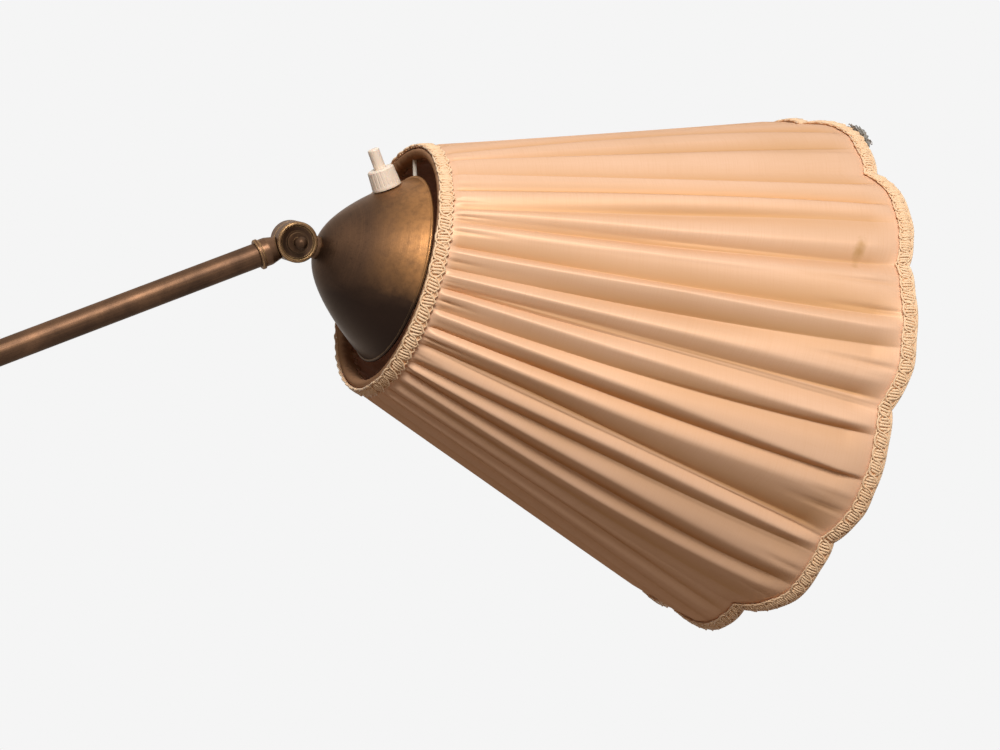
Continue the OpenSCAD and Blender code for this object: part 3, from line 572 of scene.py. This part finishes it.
satin = satin_material()
braid_yarn = yarn("braid_yarn", (0.96, 0.69, 0.44), (0.92, 0.63, 0.38), (0.74, 0.46, 0.26))
braid_tape = yarn("braid_tape", (0.94, 0.64, 0.39), (0.88, 0.57, 0.33), (0.66, 0.40, 0.21))
grey_thread = yarn("grey_thread", (0.34, 0.32, 0.28), (0.24, 0.22, 0.19), (0.12, 0.11, 0.10))
brown_thread = yarn("brown_thread", (0.30, 0.21, 0.13), (0.22, 0.15, 0.10), (0.10, 0.07, 0.05))
# The lining's own reddish brown, lightened as painted light for the light that comes through the
# satin
lining_weave = weave_material("lining", (0.36, 0.155, 0.080), (0.46, 0.205, 0.105), 0.75)
felt = felt_material()


# --- Satin, gathered into folds that run from the top ring to the mouth ---
# The troughs on the side that shows most, each at the top, middle and mouth: place, depth in mm;
# then how narrow and how round it is; and how far across the fold after it the ridge lies
TROUGHS = [
    (0.10, -0.02, 0.06, 1.4, 1.8, 2.2, 1.6, 0.20, 0.5, 0.5, 0.5),
    (0.48, 0.26, 0.38, 2.0, 2.6, 3.0, 1.7, 0.14, 0.5, 0.4, 0.4),
    (0.74, 0.69, 0.72, 3.0, 2.6, 2.4, 1.8, 0.018, 0.14, 0.30, 0.30),
    (1.09, 1.12, 1.14, 2.4, 3.2, 3.2, 1.7, 0.01, 0.12, 0.20, 0.30),
    (1.46, 1.37, 1.41, 2.0, 2.8, 2.6, 1.8, 0.01, 0.30, 0.30, 0.30),
    (1.84, 1.66, 1.62, 2.4, 3.8, 3.2, 1.6, 0.16, 0.30, 0.60, 0.62),
    (2.08, 2.05, 2.01, 3.6, 4.3, 3.6, 1.3, 0.05, 0.25, 0.30, 0.28),
    (2.45, 2.43, 2.39, 4.4, 4.9, 3.8, 1.2, 0.04, 0.30, 0.24, 0.42),
    (2.773, 2.70, 2.61, 4.6, 5.4, 4.8, 1.2, 0.03, 0.36, 0.50, 0.66),
    (3.062, 3.012, 2.975, 4.8, 4.6, 5.0, 1.2, 0.03, 0.24, 0.46, 0.73),
    (3.374, 3.313, 3.200, 4.6, 4.8, 4.8, 1.25, 0.03, 0.22, 0.48, 0.88),
    (3.649, 3.606, 3.513, 4.4, 4.8, 4.8, 1.25, 0.03, 0.26, 0.34, 0.26),
    (3.948, 3.968, 3.989, 4.6, 4.8, 4.2, 1.3, 0.03, 0.52, 0.38, 0.48),
    (4.282, 4.223, 4.137, 4.6, 4.8, 3.8, 1.3, 0.03, 0.32, 0.40, 0.58),
    (4.540, 4.613, 4.483, 4.8, 5.2, 4.2, 1.3, 0.03, 0.34, 0.34, 0.28),
    (4.80, 4.90, 4.85, 2.4, 1.8, 1.4, 1.6, 0.12, 0.4, 0.5, 0.5),
    (5.09, 5.12, 5.15, 3.4, 2.6, 1.8, 1.5, 0.06, 0.30, 0.4, 0.4),
    (5.31, 5.38, 5.42, 3.4, 2.6, 2.0, 1.5, 0.06, 0.35, 0.4, 0.5),
    (5.60, 5.66, 5.70, 2.8, 2.4, 2.2, 1.6, 0.08, 0.4, 0.5, 0.5),
    (5.90, 5.93, 5.95, 2.6, 2.4, 2.4, 1.6, 0.08, 0.5, 0.5, 0.5),
]
HIDDEN_TROUGHS = 20
# Small pleats at the two edges: place, where along the side each ends, depth and half width in mm
MOUTH_PLEATS = [
    (0.77, 0.70, 1.0, 3.0), (2.155, 0.62, 1.8, 2.6), (2.35, 0.78, 1.6, 2.4),
    (2.75, 0.76, 2.4, 2.4), (3.66, 0.84, 1.7, 2.0), (3.775, 0.80, 2.0, 2.2),
    (4.30, 0.84, 1.2, 2.2), (4.66, 0.86, 1.2, 2.0),
]
TOP_PLEATS = [
    (1.70, 0.12, 0.5, 1.6), (2.00, 0.14, 0.7, 1.6), (2.24, 0.16, 1.0, 1.8),
    (2.66, 0.12, 0.9, 1.4), (3.24, 0.13, 1.3, 1.5), (3.82, 0.14, 1.3, 1.6),
    (4.11, 0.12, 1.4, 1.6), (4.40, 0.10, 1.2, 1.3), (4.72, 0.14, 1.3, 1.5),
]
# Where the pleats of the other side start and how far apart they are, and where they end
HIDDEN_PLEATS, HIDDEN_FROM, HIDDEN_PITCH = 19, 6.0, 0.31
HIDDEN_MOUTH_END, HIDDEN_TOP_END = 0.82, 0.13
# The measured places along the side: the first, and how far from it the last is
FIRST_PLACE, PLACES_REACH = 0.08, 0.84
# Depths in mm: where a rib carries the cloth, from where its folds are counted, how high a ridge
# rises over that, and where the braids press it
RIB_SEAT, FOLD_SEAT, RIDGE_RISE, PRESSED = 3.35, 3.5, 3.55, 1.62
# Between which places along the side the braids leave the cloth free
TOP_HELD, MOUTH_HELD = 0.03, 0.965
CLOTH_THICKNESS = 0.0003


def all_troughs(draw):
    """The measured troughs, then others of their kind round the side that doesn't show."""
    found = [list(trough) for trough in TROUGHS]
    per = (SCALLOPS + TROUGHS[0][0] - TROUGHS[-1][0]) / (HIDDEN_TROUGHS + 1)
    for i in range(1, HIDDEN_TROUGHS + 1):
        at = [TROUGHS[-1][0] + (i + draw.uniform(-0.25, 0.25)) * per for _ in range(3)]
        at[1] = 0.5 * (at[0] + at[2]) + draw.uniform(-0.12, 0.12) * per
        narrow = draw.choice([1.25, 1.35, 1.5, 6.0])
        ridge = draw.uniform(0.3, 0.6)
        deep = draw.uniform(2.4, 4.4) if narrow < 2 else draw.uniform(1.0, 2.0)
        found.append(at + [deep, deep * draw.uniform(0.8, 1.3), deep * draw.uniform(0.6, 1.2),
                           narrow, draw.uniform(0.04, 0.10), ridge, ridge, draw.uniform(0.3, 0.7)])
    return np.array(found).T


def make_satin():
    """One sheet: turned in over the top ring, down the outside in soft folds, and turned under
    at the mouth. Columns run round the shade and rows along it."""
    draw = random.Random(11)
    troughs = all_troughs(draw)
    places, depths, narrow, soft, ridges = np.split(troughs, [3, 6, 7, 8])
    narrow, soft = narrow[0], soft[0]
    folds, fine = troughs.shape[1], 28

    def jitter(amount):
        return np.array([draw.uniform(-amount, amount) for _ in range(folds)])

    def between(values, k, u):
        return values[k] * (1 - u) + values[(k + 1) % folds] * u

    def along(three, x):
        first, second = min(max(2 * x, 0), 1), min(max(2 * x - 1, 0), 1)
        return three[0] + (three[1] - three[0]) * first + (three[2] - three[1]) * second

    c = np.arange(folds * fine) / fine
    k = np.floor(c).astype(int)
    u = c - k
    u = u - 0.55 * np.sin(2 * np.pi * u) / (2 * np.pi)
    c = k + u
    phase, turns = jitter(np.pi), 2.4 + jitter(0.8)
    swell_phase, level = jitter(np.pi), jitter(0.35)
    gather, gather_phase = np.abs(jitter(1.0)), jitter(np.pi)
    creases = []
    for _ in range(34):
        start = draw.choice([0.0, 0.0, draw.uniform(0.1, 0.5)])
        creases.append((draw.uniform(0, folds), draw.uniform(-0.25, 0.25), start,
                        start + draw.uniform(0.25, 0.9), draw.uniform(0.08, 0.28),
                        draw.uniform(3, 8)))

    # Pleats, each with its side: 1 at the mouth, -1 at the top
    hidden = [HIDDEN_FROM + HIDDEN_PITCH * i + draw.uniform(-0.1, 0.1)
              for i in range(HIDDEN_PLEATS)]
    pleats = [(at, 1, end, fall, wide) for at, end, fall, wide in MOUTH_PLEATS]
    pleats += [(at, -1, end, fall, wide) for at, end, fall, wide in TOP_PLEATS]
    for at in hidden:
        side = draw.choice([1, -1])
        end = HIDDEN_MOUTH_END if side > 0 else HIDDEN_TOP_END
        pleats.append((at, side, end, draw.uniform(0.8, 1.8), draw.uniform(1.5, 2.6)))

    # Rows: place along the side, depth of the pressed cloth, share of the full folds, place on
    # the flat cloth in mm
    turn_in = [(0.034, 6.9), (0.016, 6.8), (0.003, 6.4), (-0.0040, 5.0), (-0.0062, 3.4),
               (-0.0045, 2.2), (0.001, 1.65)]
    rows = [(t, depth, 0.0, -1.4 * (len(turn_in) - i)) for i, (t, depth) in enumerate(turn_in)]
    held = BRAID_W / SLANT
    for t in np.concatenate([np.linspace(0.010, 0.11, 22), np.linspace(0.125, 0.87, 38)[:-1],
                             np.linspace(0.87, 0.995, 24)]):
        top_rise = np.clip((t - held * 0.78) / (held * 0.55), 0, 1) ** 0.75
        mouth_rise = np.clip((1 - held * 0.80 - t) / 0.060, 0, 1) ** 0.6
        rows.append((t, PRESSED, max(top_rise * mouth_rise, 0.015), t * SLANT))
    turn_under = [(1.0, 2.0), (1.0, 3.2), (0.992, 4.0)]
    rows += [(t, depth, 0.0, SLANT + depth) for t, depth in turn_under]

    points, uv, shaded = [], [], []
    for t, depth, share, flat in rows:
        tt = np.clip(t, 0, 1)
        # A curve through the three places along the side
        x = (tt - FIRST_PLACE) / PLACES_REACH
        start = (places[0] * (1 - x) * (1 - 2 * x) + places[1] * 4 * x * (1 - x)
                 + places[2] * x * (2 * x - 1))
        width = np.maximum((np.roll(start, -1) - start) % SCALLOPS, 0.02)
        q = start[k] + width[k] * u
        deep, ridge = along(depths, x), along(ridges, x)[k]
        around = 2 * np.pi * (TOP_R + (MOUTH_R - TOP_R) * tt)
        down = np.sin(2 * HALF * q)

        # The main folds: a crisp ridge between two troughs
        climb = np.where(u < ridge, u / ridge, (1 - u) / (1 - ridge))
        r = between(soft, k, u) * np.interp(tt, [0, 0.1, 0.5, 1], [0.8, 0.9, 1.6, 1.6])
        climb = (np.sqrt(climb ** 2 + r ** 2) - r) / (np.sqrt(1 + r ** 2) - r)
        wave = 1 - (1 - climb) ** between(narrow, k, u)
        fall = deep * (1 + 0.10 * np.sin(turns * np.pi * tt + swell_phase))
        fall = fall * np.interp(tt, [0, 0.06, 0.25, 1], [0.66, 0.80, 1.0, 1.0])
        rise = RIDGE_RISE + between(level, k, u) * np.sin(np.pi * tt)
        rise = rise - between(fall, k, u) * (1 - wave)
        # Finer gathers, strongest near the top and where the folds are deep
        lively = np.clip(between(deep, k, u) / 3.4, 0.25, 1.0)
        small = lively * np.interp(tt, [0, 0.05, 0.2, 0.5, 1], [0.30, 0.36, 0.26, 0.16, 0.10])
        gathered = 0.5 + 0.5 * np.sin(4 * np.pi * c + looped(gather_phase, c))
        rise = rise - small * looped(gather, c) * gathered
        rise = rise - 0.40 * lively * np.exp(-np.maximum(t - held, 0) / 0.035) * (
            0.5 + 0.5 * np.sin(6 * np.pi * c + 2 * looped(phase, c)))
        edge_small = 0.7 * np.exp(-np.maximum(MOUTH_HELD - t, 0) / 0.05)
        rise = rise - edge_small * np.clip(looped(level, c + 3.5) / 0.35, 0, 1) * gathered
        for at, side, end, pleat_deep, wide in pleats:
            reach = MOUTH_HELD - end if side > 0 else end - TOP_HELD
            on = np.clip(side * (tt - end) / reach, 0, 1) ** 1.3
            if on > 0:
                x = ((q - at + SCALLOPS / 2) % SCALLOPS - SCALLOPS / 2) * around / SCALLOPS
                rise = rise - on * pleat_deep * np.clip(1 - np.abs(x) / wide, 0, 1) ** 1.3
        # Creases, each with its steep side below
        for c0, drift, first, last, crease_deep, wide in creases:
            on = np.clip((tt - first) / 0.06, 0, 1) * np.clip((last - tt) / 0.12, 0, 1)
            if on <= 0:
                continue
            x = (c - c0 - drift * tt + folds / 2) % folds - folds / 2
            x = x * around / folds * np.where(down >= 0, 1, -1)
            slope = np.clip(1 + x / wide, 0, 1) ** 2
            steep = np.clip(1 - x / max(0.6, 1.6 * around / len(c)), 0, 1)
            rise = rise + on * crease_deep * slope * steep
        pressed = depth + (0.5 - 0.5 * np.cos(2 * np.pi * 1.85 * c + looped(phase, c))) * (
            0.55 if depth > 4 and t < 0.5 else 0.12 if share < 0.02 else 0.0)
        # The ribs hold the cloth out
        rib_gap = np.abs(q - np.round(q)) * around / SCALLOPS
        low = np.minimum(FOLD_SEAT - rise, RIB_SEAT + 0.5 * np.maximum(rib_gap - 1.0, 0))
        where = shade_point(q % SCALLOPS, np.full_like(q, t), pressed * (1 - share) + low * share)
        points.append(where)
        # The deeper the cloth lies the darker it is painted as shade, most on the side before the
        # next trough, with a painted line of shade in the crispest troughs
        painted_fold_shade = np.clip((low - 0.2) / (1.0 + 0.70 * between(deep, k, u)), 0, 1)
        painted_fold_shade = painted_fold_shade * np.where(u > ridge, 1.0, 0.5)
        fine_line = between(np.clip(2.5 - 100 * soft, 0, 1), k, u) * (1 - climb) ** 16
        shaded.append(share * np.maximum(painted_fold_shade, 1.5 * fine_line))
        uv.append(np.stack([q * 0.0895, np.full_like(q, flat * 0.001)], -1))
    faces = grid_faces(len(rows), folds * fine)
    obj = new_object("shade_satin", head_to_world(np.concatenate(points)), faces, "head", [satin],
                     uv=np.concatenate(uv))
    painted_fold_shade = obj.data.attributes.new("painted_fold_shade", "FLOAT", "POINT")
    painted_fold_shade.data.foreach_set("value", np.concatenate(shaded))
    solid = obj.modifiers.new("thickness", "SOLIDIFY")
    solid.thickness = CLOTH_THICKNESS
    solid.offset = -1
    return obj


shade_satin = make_satin()
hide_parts("shade_cloth")


# --- Lining: dark cotton inside the frame, its lower edge brought out round the mouth wire ---
def make_lining():
    draw = random.Random(5)
    folds = 36
    samples = 9
    columns = folds * samples
    q = SCALLOPS * np.arange(columns) / columns
    fold_phase = 2 * np.pi * folds * q / SCALLOPS
    strength = [draw.uniform(0.4, 1.0) for _ in range(folds)] + [0.7]
    strength = np.interp(q, np.linspace(0, SCALLOPS, folds + 1), strength)
    # Rows: place along the side, depth in mm, share of the folds
    rows = [(t, 7.25, 1.0) for t in np.linspace(0.022, 0.965, 34)]
    rows += [(0.985, 6.5, 0.5), (0.996, 5.2, 0.2), (1.0015, 4.0, 0.0), (1.0032, 2.8, 0.0),
             (1.0036, 1.7, 0.0), (1.0020, 1.1, 0.0)]
    points, uv = [], []
    for t, depth, share in rows:
        wave = 0.5 * strength * share * (1 + np.cos(fold_phase + 1.2 * np.sin(3 * t)))
        points.append(shade_point(q, np.full_like(q, t), depth + 0.9 * wave))
        uv.append(np.stack([q * 0.085, np.full_like(q, t * SLANT * 0.001)], -1))
    obj = new_object("shade_lining_cloth", head_to_world(np.concatenate(points)),
                     grid_faces(len(rows), columns)[:, ::-1], "head", [lining_weave],
                     uv=np.concatenate(uv))
    solid = obj.modifiers.new("thickness", "SOLIDIFY")
    solid.thickness = CLOTH_THICKNESS
    solid.offset = 1
    return obj


shade_lining = make_lining()
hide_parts("shade_lining")


# --- Scroll gimp: two cords that cross between pods, loops in the gaps, ribs across each pod ---
# Radii of its cords and the lengths of one turn of their twist
EDGE_CORD, CROSS_CORD, LOOP_CORD, RIB_CORD = 0.00062, 0.00060, 0.00045, 0.00080
CORD_TURN, LOOP_TURN = 0.0019, 0.0015


def gimp(t_mid, pods, base_depth, seed, edging=False):
    """Gimp round the shade with its middle at t_mid. edging adds a cord along its edge and keeps
    the others from reaching past it."""
    draw = random.Random(seed)
    soup = Soup()
    pitch_q = SCALLOPS / pods
    steps = 14

    def place(x, w, depth):
        """x in pods along the braid, w in mm across it towards the mouth."""
        x, w = np.asarray(x, float), np.asarray(w, float)
        q = (x * pitch_q) % SCALLOPS
        return head_to_world(shade_point(q, t_mid + w / SLANT, np.broadcast_to(depth, x.shape)))

    def outwards(x, w):
        return place(x, w, -1.0) - place(x, w, 0.0)

    def cord(path, radius, sides, up, turn, ply):
        points, faces = tube(path, radius, sides, up, closed=True, twist=2 * np.pi / turn, ply=ply)
        soup.take(points, faces)

    # Backing tape: places across it and their depths
    x = np.arange(pods * 6) / 6
    section = [(-3.3, base_depth), (-3.2, base_depth - 0.5), (-1.6, base_depth - 0.75),
               (1.6, base_depth - 0.75), (3.2, base_depth - 0.5), (3.3, base_depth)]
    tape = np.concatenate([place(x, np.full_like(x, w), d) for w, d in section])
    soup.take(tape, grid_faces(len(section), len(x))[:, ::-1], 1)

    # The two edge cords and the small loops that fill the gaps between the pods
    uneven = np.array([draw.uniform(-0.14, 0.12) for _ in range(pods)])
    shift = np.array([draw.uniform(-0.06, 0.06) for _ in range(pods)])
    x = np.arange(pods * steps) / steps
    wave = np.sin(np.pi * x)
    bend = looped(shift, x)
    if edging:
        w = np.full_like(x, 4.0)
        cord(place(x, w, base_depth - 0.25), EDGE_CORD, 8, outwards(x, w), CORD_TURN, 0.10)
    for sign in (1, -1):
        w = sign * 3.9 * np.sign(wave) * np.abs(wave) ** 0.66 * (1 + looped(uneven, x - 0.5))
        w = np.minimum(w, 3.3) if edging else w
        lean = x + bend + 0.12 * np.sin(2 * np.pi * x) * np.sign(wave) * sign
        depth = base_depth - 1.25 - 0.32 * sign * np.cos(np.pi * x)
        cord(place(lean, w, depth), CROSS_CORD, 8, outwards(x, w), CORD_TURN, 0.14)
        w = sign * (2.1 + 1.75 * np.abs(np.cos(np.pi * x)) ** 1.6 * (1 + looped(uneven, x)))
        w = np.minimum(w, 3.1) if edging else w
        path = place(x + bend - 0.10 * sign * np.sin(2 * np.pi * x), w, base_depth - 0.85)
        cord(path, LOOP_CORD, 7, outwards(x, w), LOOP_TURN, 0.14)

    # Ribs across the pods
    v = np.linspace(-1, 1, 9)
    for i in range(pods):
        for j in range(4):
            x0 = i + 0.5 + (j - 1.5) * 0.205
            reach = 3.5 * abs(np.sin(np.pi * x0)) ** 0.66 * (1 + draw.uniform(-0.1, 0.05))
            slope = 0.055 * (1 if i % 2 else -1)
            x = x0 + shift[i % pods] + slope * v + 0.02 * draw.uniform(-1, 1)
            depth = base_depth - 0.95 - 0.5 * (1 - v ** 2) + draw.uniform(-0.07, 0.07)
            w = np.minimum(reach * v, 3.0) if edging else reach * v
            path = place(x, w, depth)
            points, faces = tube(path, RIB_CORD * (1 - 0.3 * np.abs(v) ** 3), 8, outwards(x, w),
                                 squash=0.85)
            soup.take(points, faces)
    return soup


def finish_gimp(name, soup, materials, replaced):
    obj = new_object(name, np.concatenate(soup.points), soup.faces, "head", materials,
                     face_slots=soup.slots)
    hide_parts(replaced)
    return obj


TOP_PODS, MOUTH_PODS = 53, 126
top_soup = gimp(3.0 / SLANT, TOP_PODS, base_depth=0.85, seed=3)
top_gimp = finish_gimp("top_gimp", top_soup, [braid_yarn, braid_tape], "top_braid")
mouth_soup = gimp(1 - 3.9 / SLANT, MOUTH_PODS, base_depth=1.1, seed=4, edging=True)


def loose_threads(soup, count, seed):
    """Frayed grey threads that hang out at one place of the mouth's edge."""
    draw = random.Random(seed)
    for _ in range(count):
        v = np.linspace(0, 1, 11)
        q0, q1 = draw.uniform(0.36, 0.70), draw.uniform(0.36, 0.70)
        reach = draw.uniform(0.8, 3.6)
        turn, phase = draw.uniform(1.5, 4.0), draw.uniform(0, 6.3)
        curl = turn * np.pi * v + phase
        along = 1.0 + (0.4 + reach * np.sin(np.pi * v) + 0.7 * np.sin(curl)) / SLANT
        depth = draw.uniform(-1.2, 4.0) + 0.9 * np.sin(curl + 1.3)
        q = q0 + (q1 - q0) * v + 0.02 * np.cos(curl)
        path = head_to_world(shade_point(q, along, depth))
        points, faces = tube(path, draw.uniform(0.00018, 0.00034), 5,
                             np.tile(HEAD_UP, (len(v), 1)))
        soup.take(points, faces, draw.choice([2, 2, 3]))


loose_threads(mouth_soup, 90, 9)
mouth_gimp = finish_gimp("mouth_gimp", mouth_soup,
                         [braid_yarn, braid_tape, grey_thread, brown_thread], "mouth_braid")


# --- Felt disc under the base ---
def make_felt():
    draw = random.Random(2)
    radius, thick, soft = 0.126, 0.003, 0.0006
    around = 144
    angle = 2 * np.pi * np.arange(around) / around
    profile = [(0.3, 0.0), (0.7, 0.0), (1 - 2 * soft / radius, 0.0), (1 - soft / radius, 0.0002),
               (1.0, soft * 1.3), (1.0, thick - soft), (1 - soft / radius, thick - 0.0001),
               (0.7, thick), (0.3, thick)]
    ragged = 1 + 0.0022 * np.array([draw.uniform(-1, 0) for _ in range(around)])
    points = []
    for share, z in profile:
        reach = radius * share * (ragged if share > 0.95 else 1.0)
        points.append(np.stack([reach * np.cos(angle), reach * np.sin(angle),
                                np.full(around, z)], -1))
    points.append(np.array([[0, 0, 0.0], [0, 0, thick]]))
    faces = [tuple(f) for f in grid_faces(len(profile), around)[:, ::-1]]
    low, high = len(profile) * around, len(profile) * around + 1
    last = (len(profile) - 1) * around
    for i in range(around):
        j = (i + 1) % around
        faces.append((low, j, i))
        faces.append((high, last + i, last + j))
    return new_object("felt_disc", np.concatenate(points), faces, "stand", [felt])


felt_disc = make_felt()
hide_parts("base_felt")


# --- Floor, background and lamps ---
def seen_directly(tree):
    """1 for rays from the camera, or by way of gloss or glass."""
    path = add(tree, "LightPath").outputs
    return maths(tree, "MAXIMUM", path["Is Camera Ray"],
                 maths(tree, "MAXIMUM", path["Is Glossy Ray"], path["Is Transmission Ray"]))


BACKGROUND = (0.913, 0.913, 0.913, 1.0)
FLOOR_REACH = 8.0
SHADE_CENTRE = (0.50, 0.0, 1.25)


def make_floor():
    material, tree, shader, out = new_material("floor")
    _, place = local_point(tree, (0, 0, 0), WORLD_AXES)
    away = length(tree, place)
    direct = seen_directly(tree)
    tone = blend_color(tree, direct, rgb(0.32, 0.228, 0.158), rgb(0.80, 0.80, 0.80))
    set_shader(tree, shader, Base_Color=tone, Roughness=0.8)
    glow = add(tree, "Emission", {"Color": BACKGROUND, "Strength": 1.0}).outputs[0]
    faded = times(tree, spread(tree, away, 0.35, 1.3, 0.6, 1.0), direct)
    mixed = add(tree, "MixShader", {0: faded, 1: shader.outputs[0], 2: glow}).outputs[0]
    tree.links.new(mixed, out.inputs["Surface"])
    mesh = bpy.data.meshes.new("floor")
    corners = [(-1, -1), (1, -1), (1, 1), (-1, 1)]
    mesh.from_pydata([(FLOOR_REACH * x, FLOOR_REACH * y, 0) for x, y in corners], [],
                     [(0, 1, 2, 3)])
    mesh.materials.append(material)
    floor = bpy.data.objects.new("floor", mesh)
    bpy.context.scene.collection.objects.link(floor)


def make_world():
    world = bpy.data.worlds.new("studio")
    bpy.context.scene.world = world
    world.use_nodes = True
    tree = world.node_tree
    tree.nodes.clear()
    soft = add(tree, "Background", {"Color": rgb(1.0, 0.77, 0.57), "Strength": 0.13}).outputs[0]
    seen = add(tree, "Background", {"Color": BACKGROUND, "Strength": 1.0}).outputs[0]
    mixed = add(tree, "MixShader", {0: seen_directly(tree), 1: soft, 2: seen}).outputs[0]
    add(tree, "OutputWorld", {"Surface": mixed})


def area_lamp(name, direction, distance, size, power, color):
    """A soft box that faces the shade from a direction."""
    centre = Vector(SHADE_CENTRE)
    data = bpy.data.lights.new(name, "AREA")
    data.shape = "RECTANGLE"
    data.size, data.size_y = size
    data.energy = power
    data.color = color
    lamp = bpy.data.objects.new(name, data)
    way = Vector(direction).normalized()
    lamp.location = centre + way * distance
    lamp.rotation_euler = (-way).to_track_quat("-Z", "Y").to_euler()
    bpy.context.scene.collection.objects.link(lamp)


make_floor()
make_world()
area_lamp("key", (-0.24, -0.73, 0.75), 2.2, (0.9, 0.7), 47, (1.0, 0.985, 0.965))
area_lamp("top", (0.25, 0.35, 1.0), 2.2, (1.4, 1.4), 4, (1.0, 0.98, 0.95))
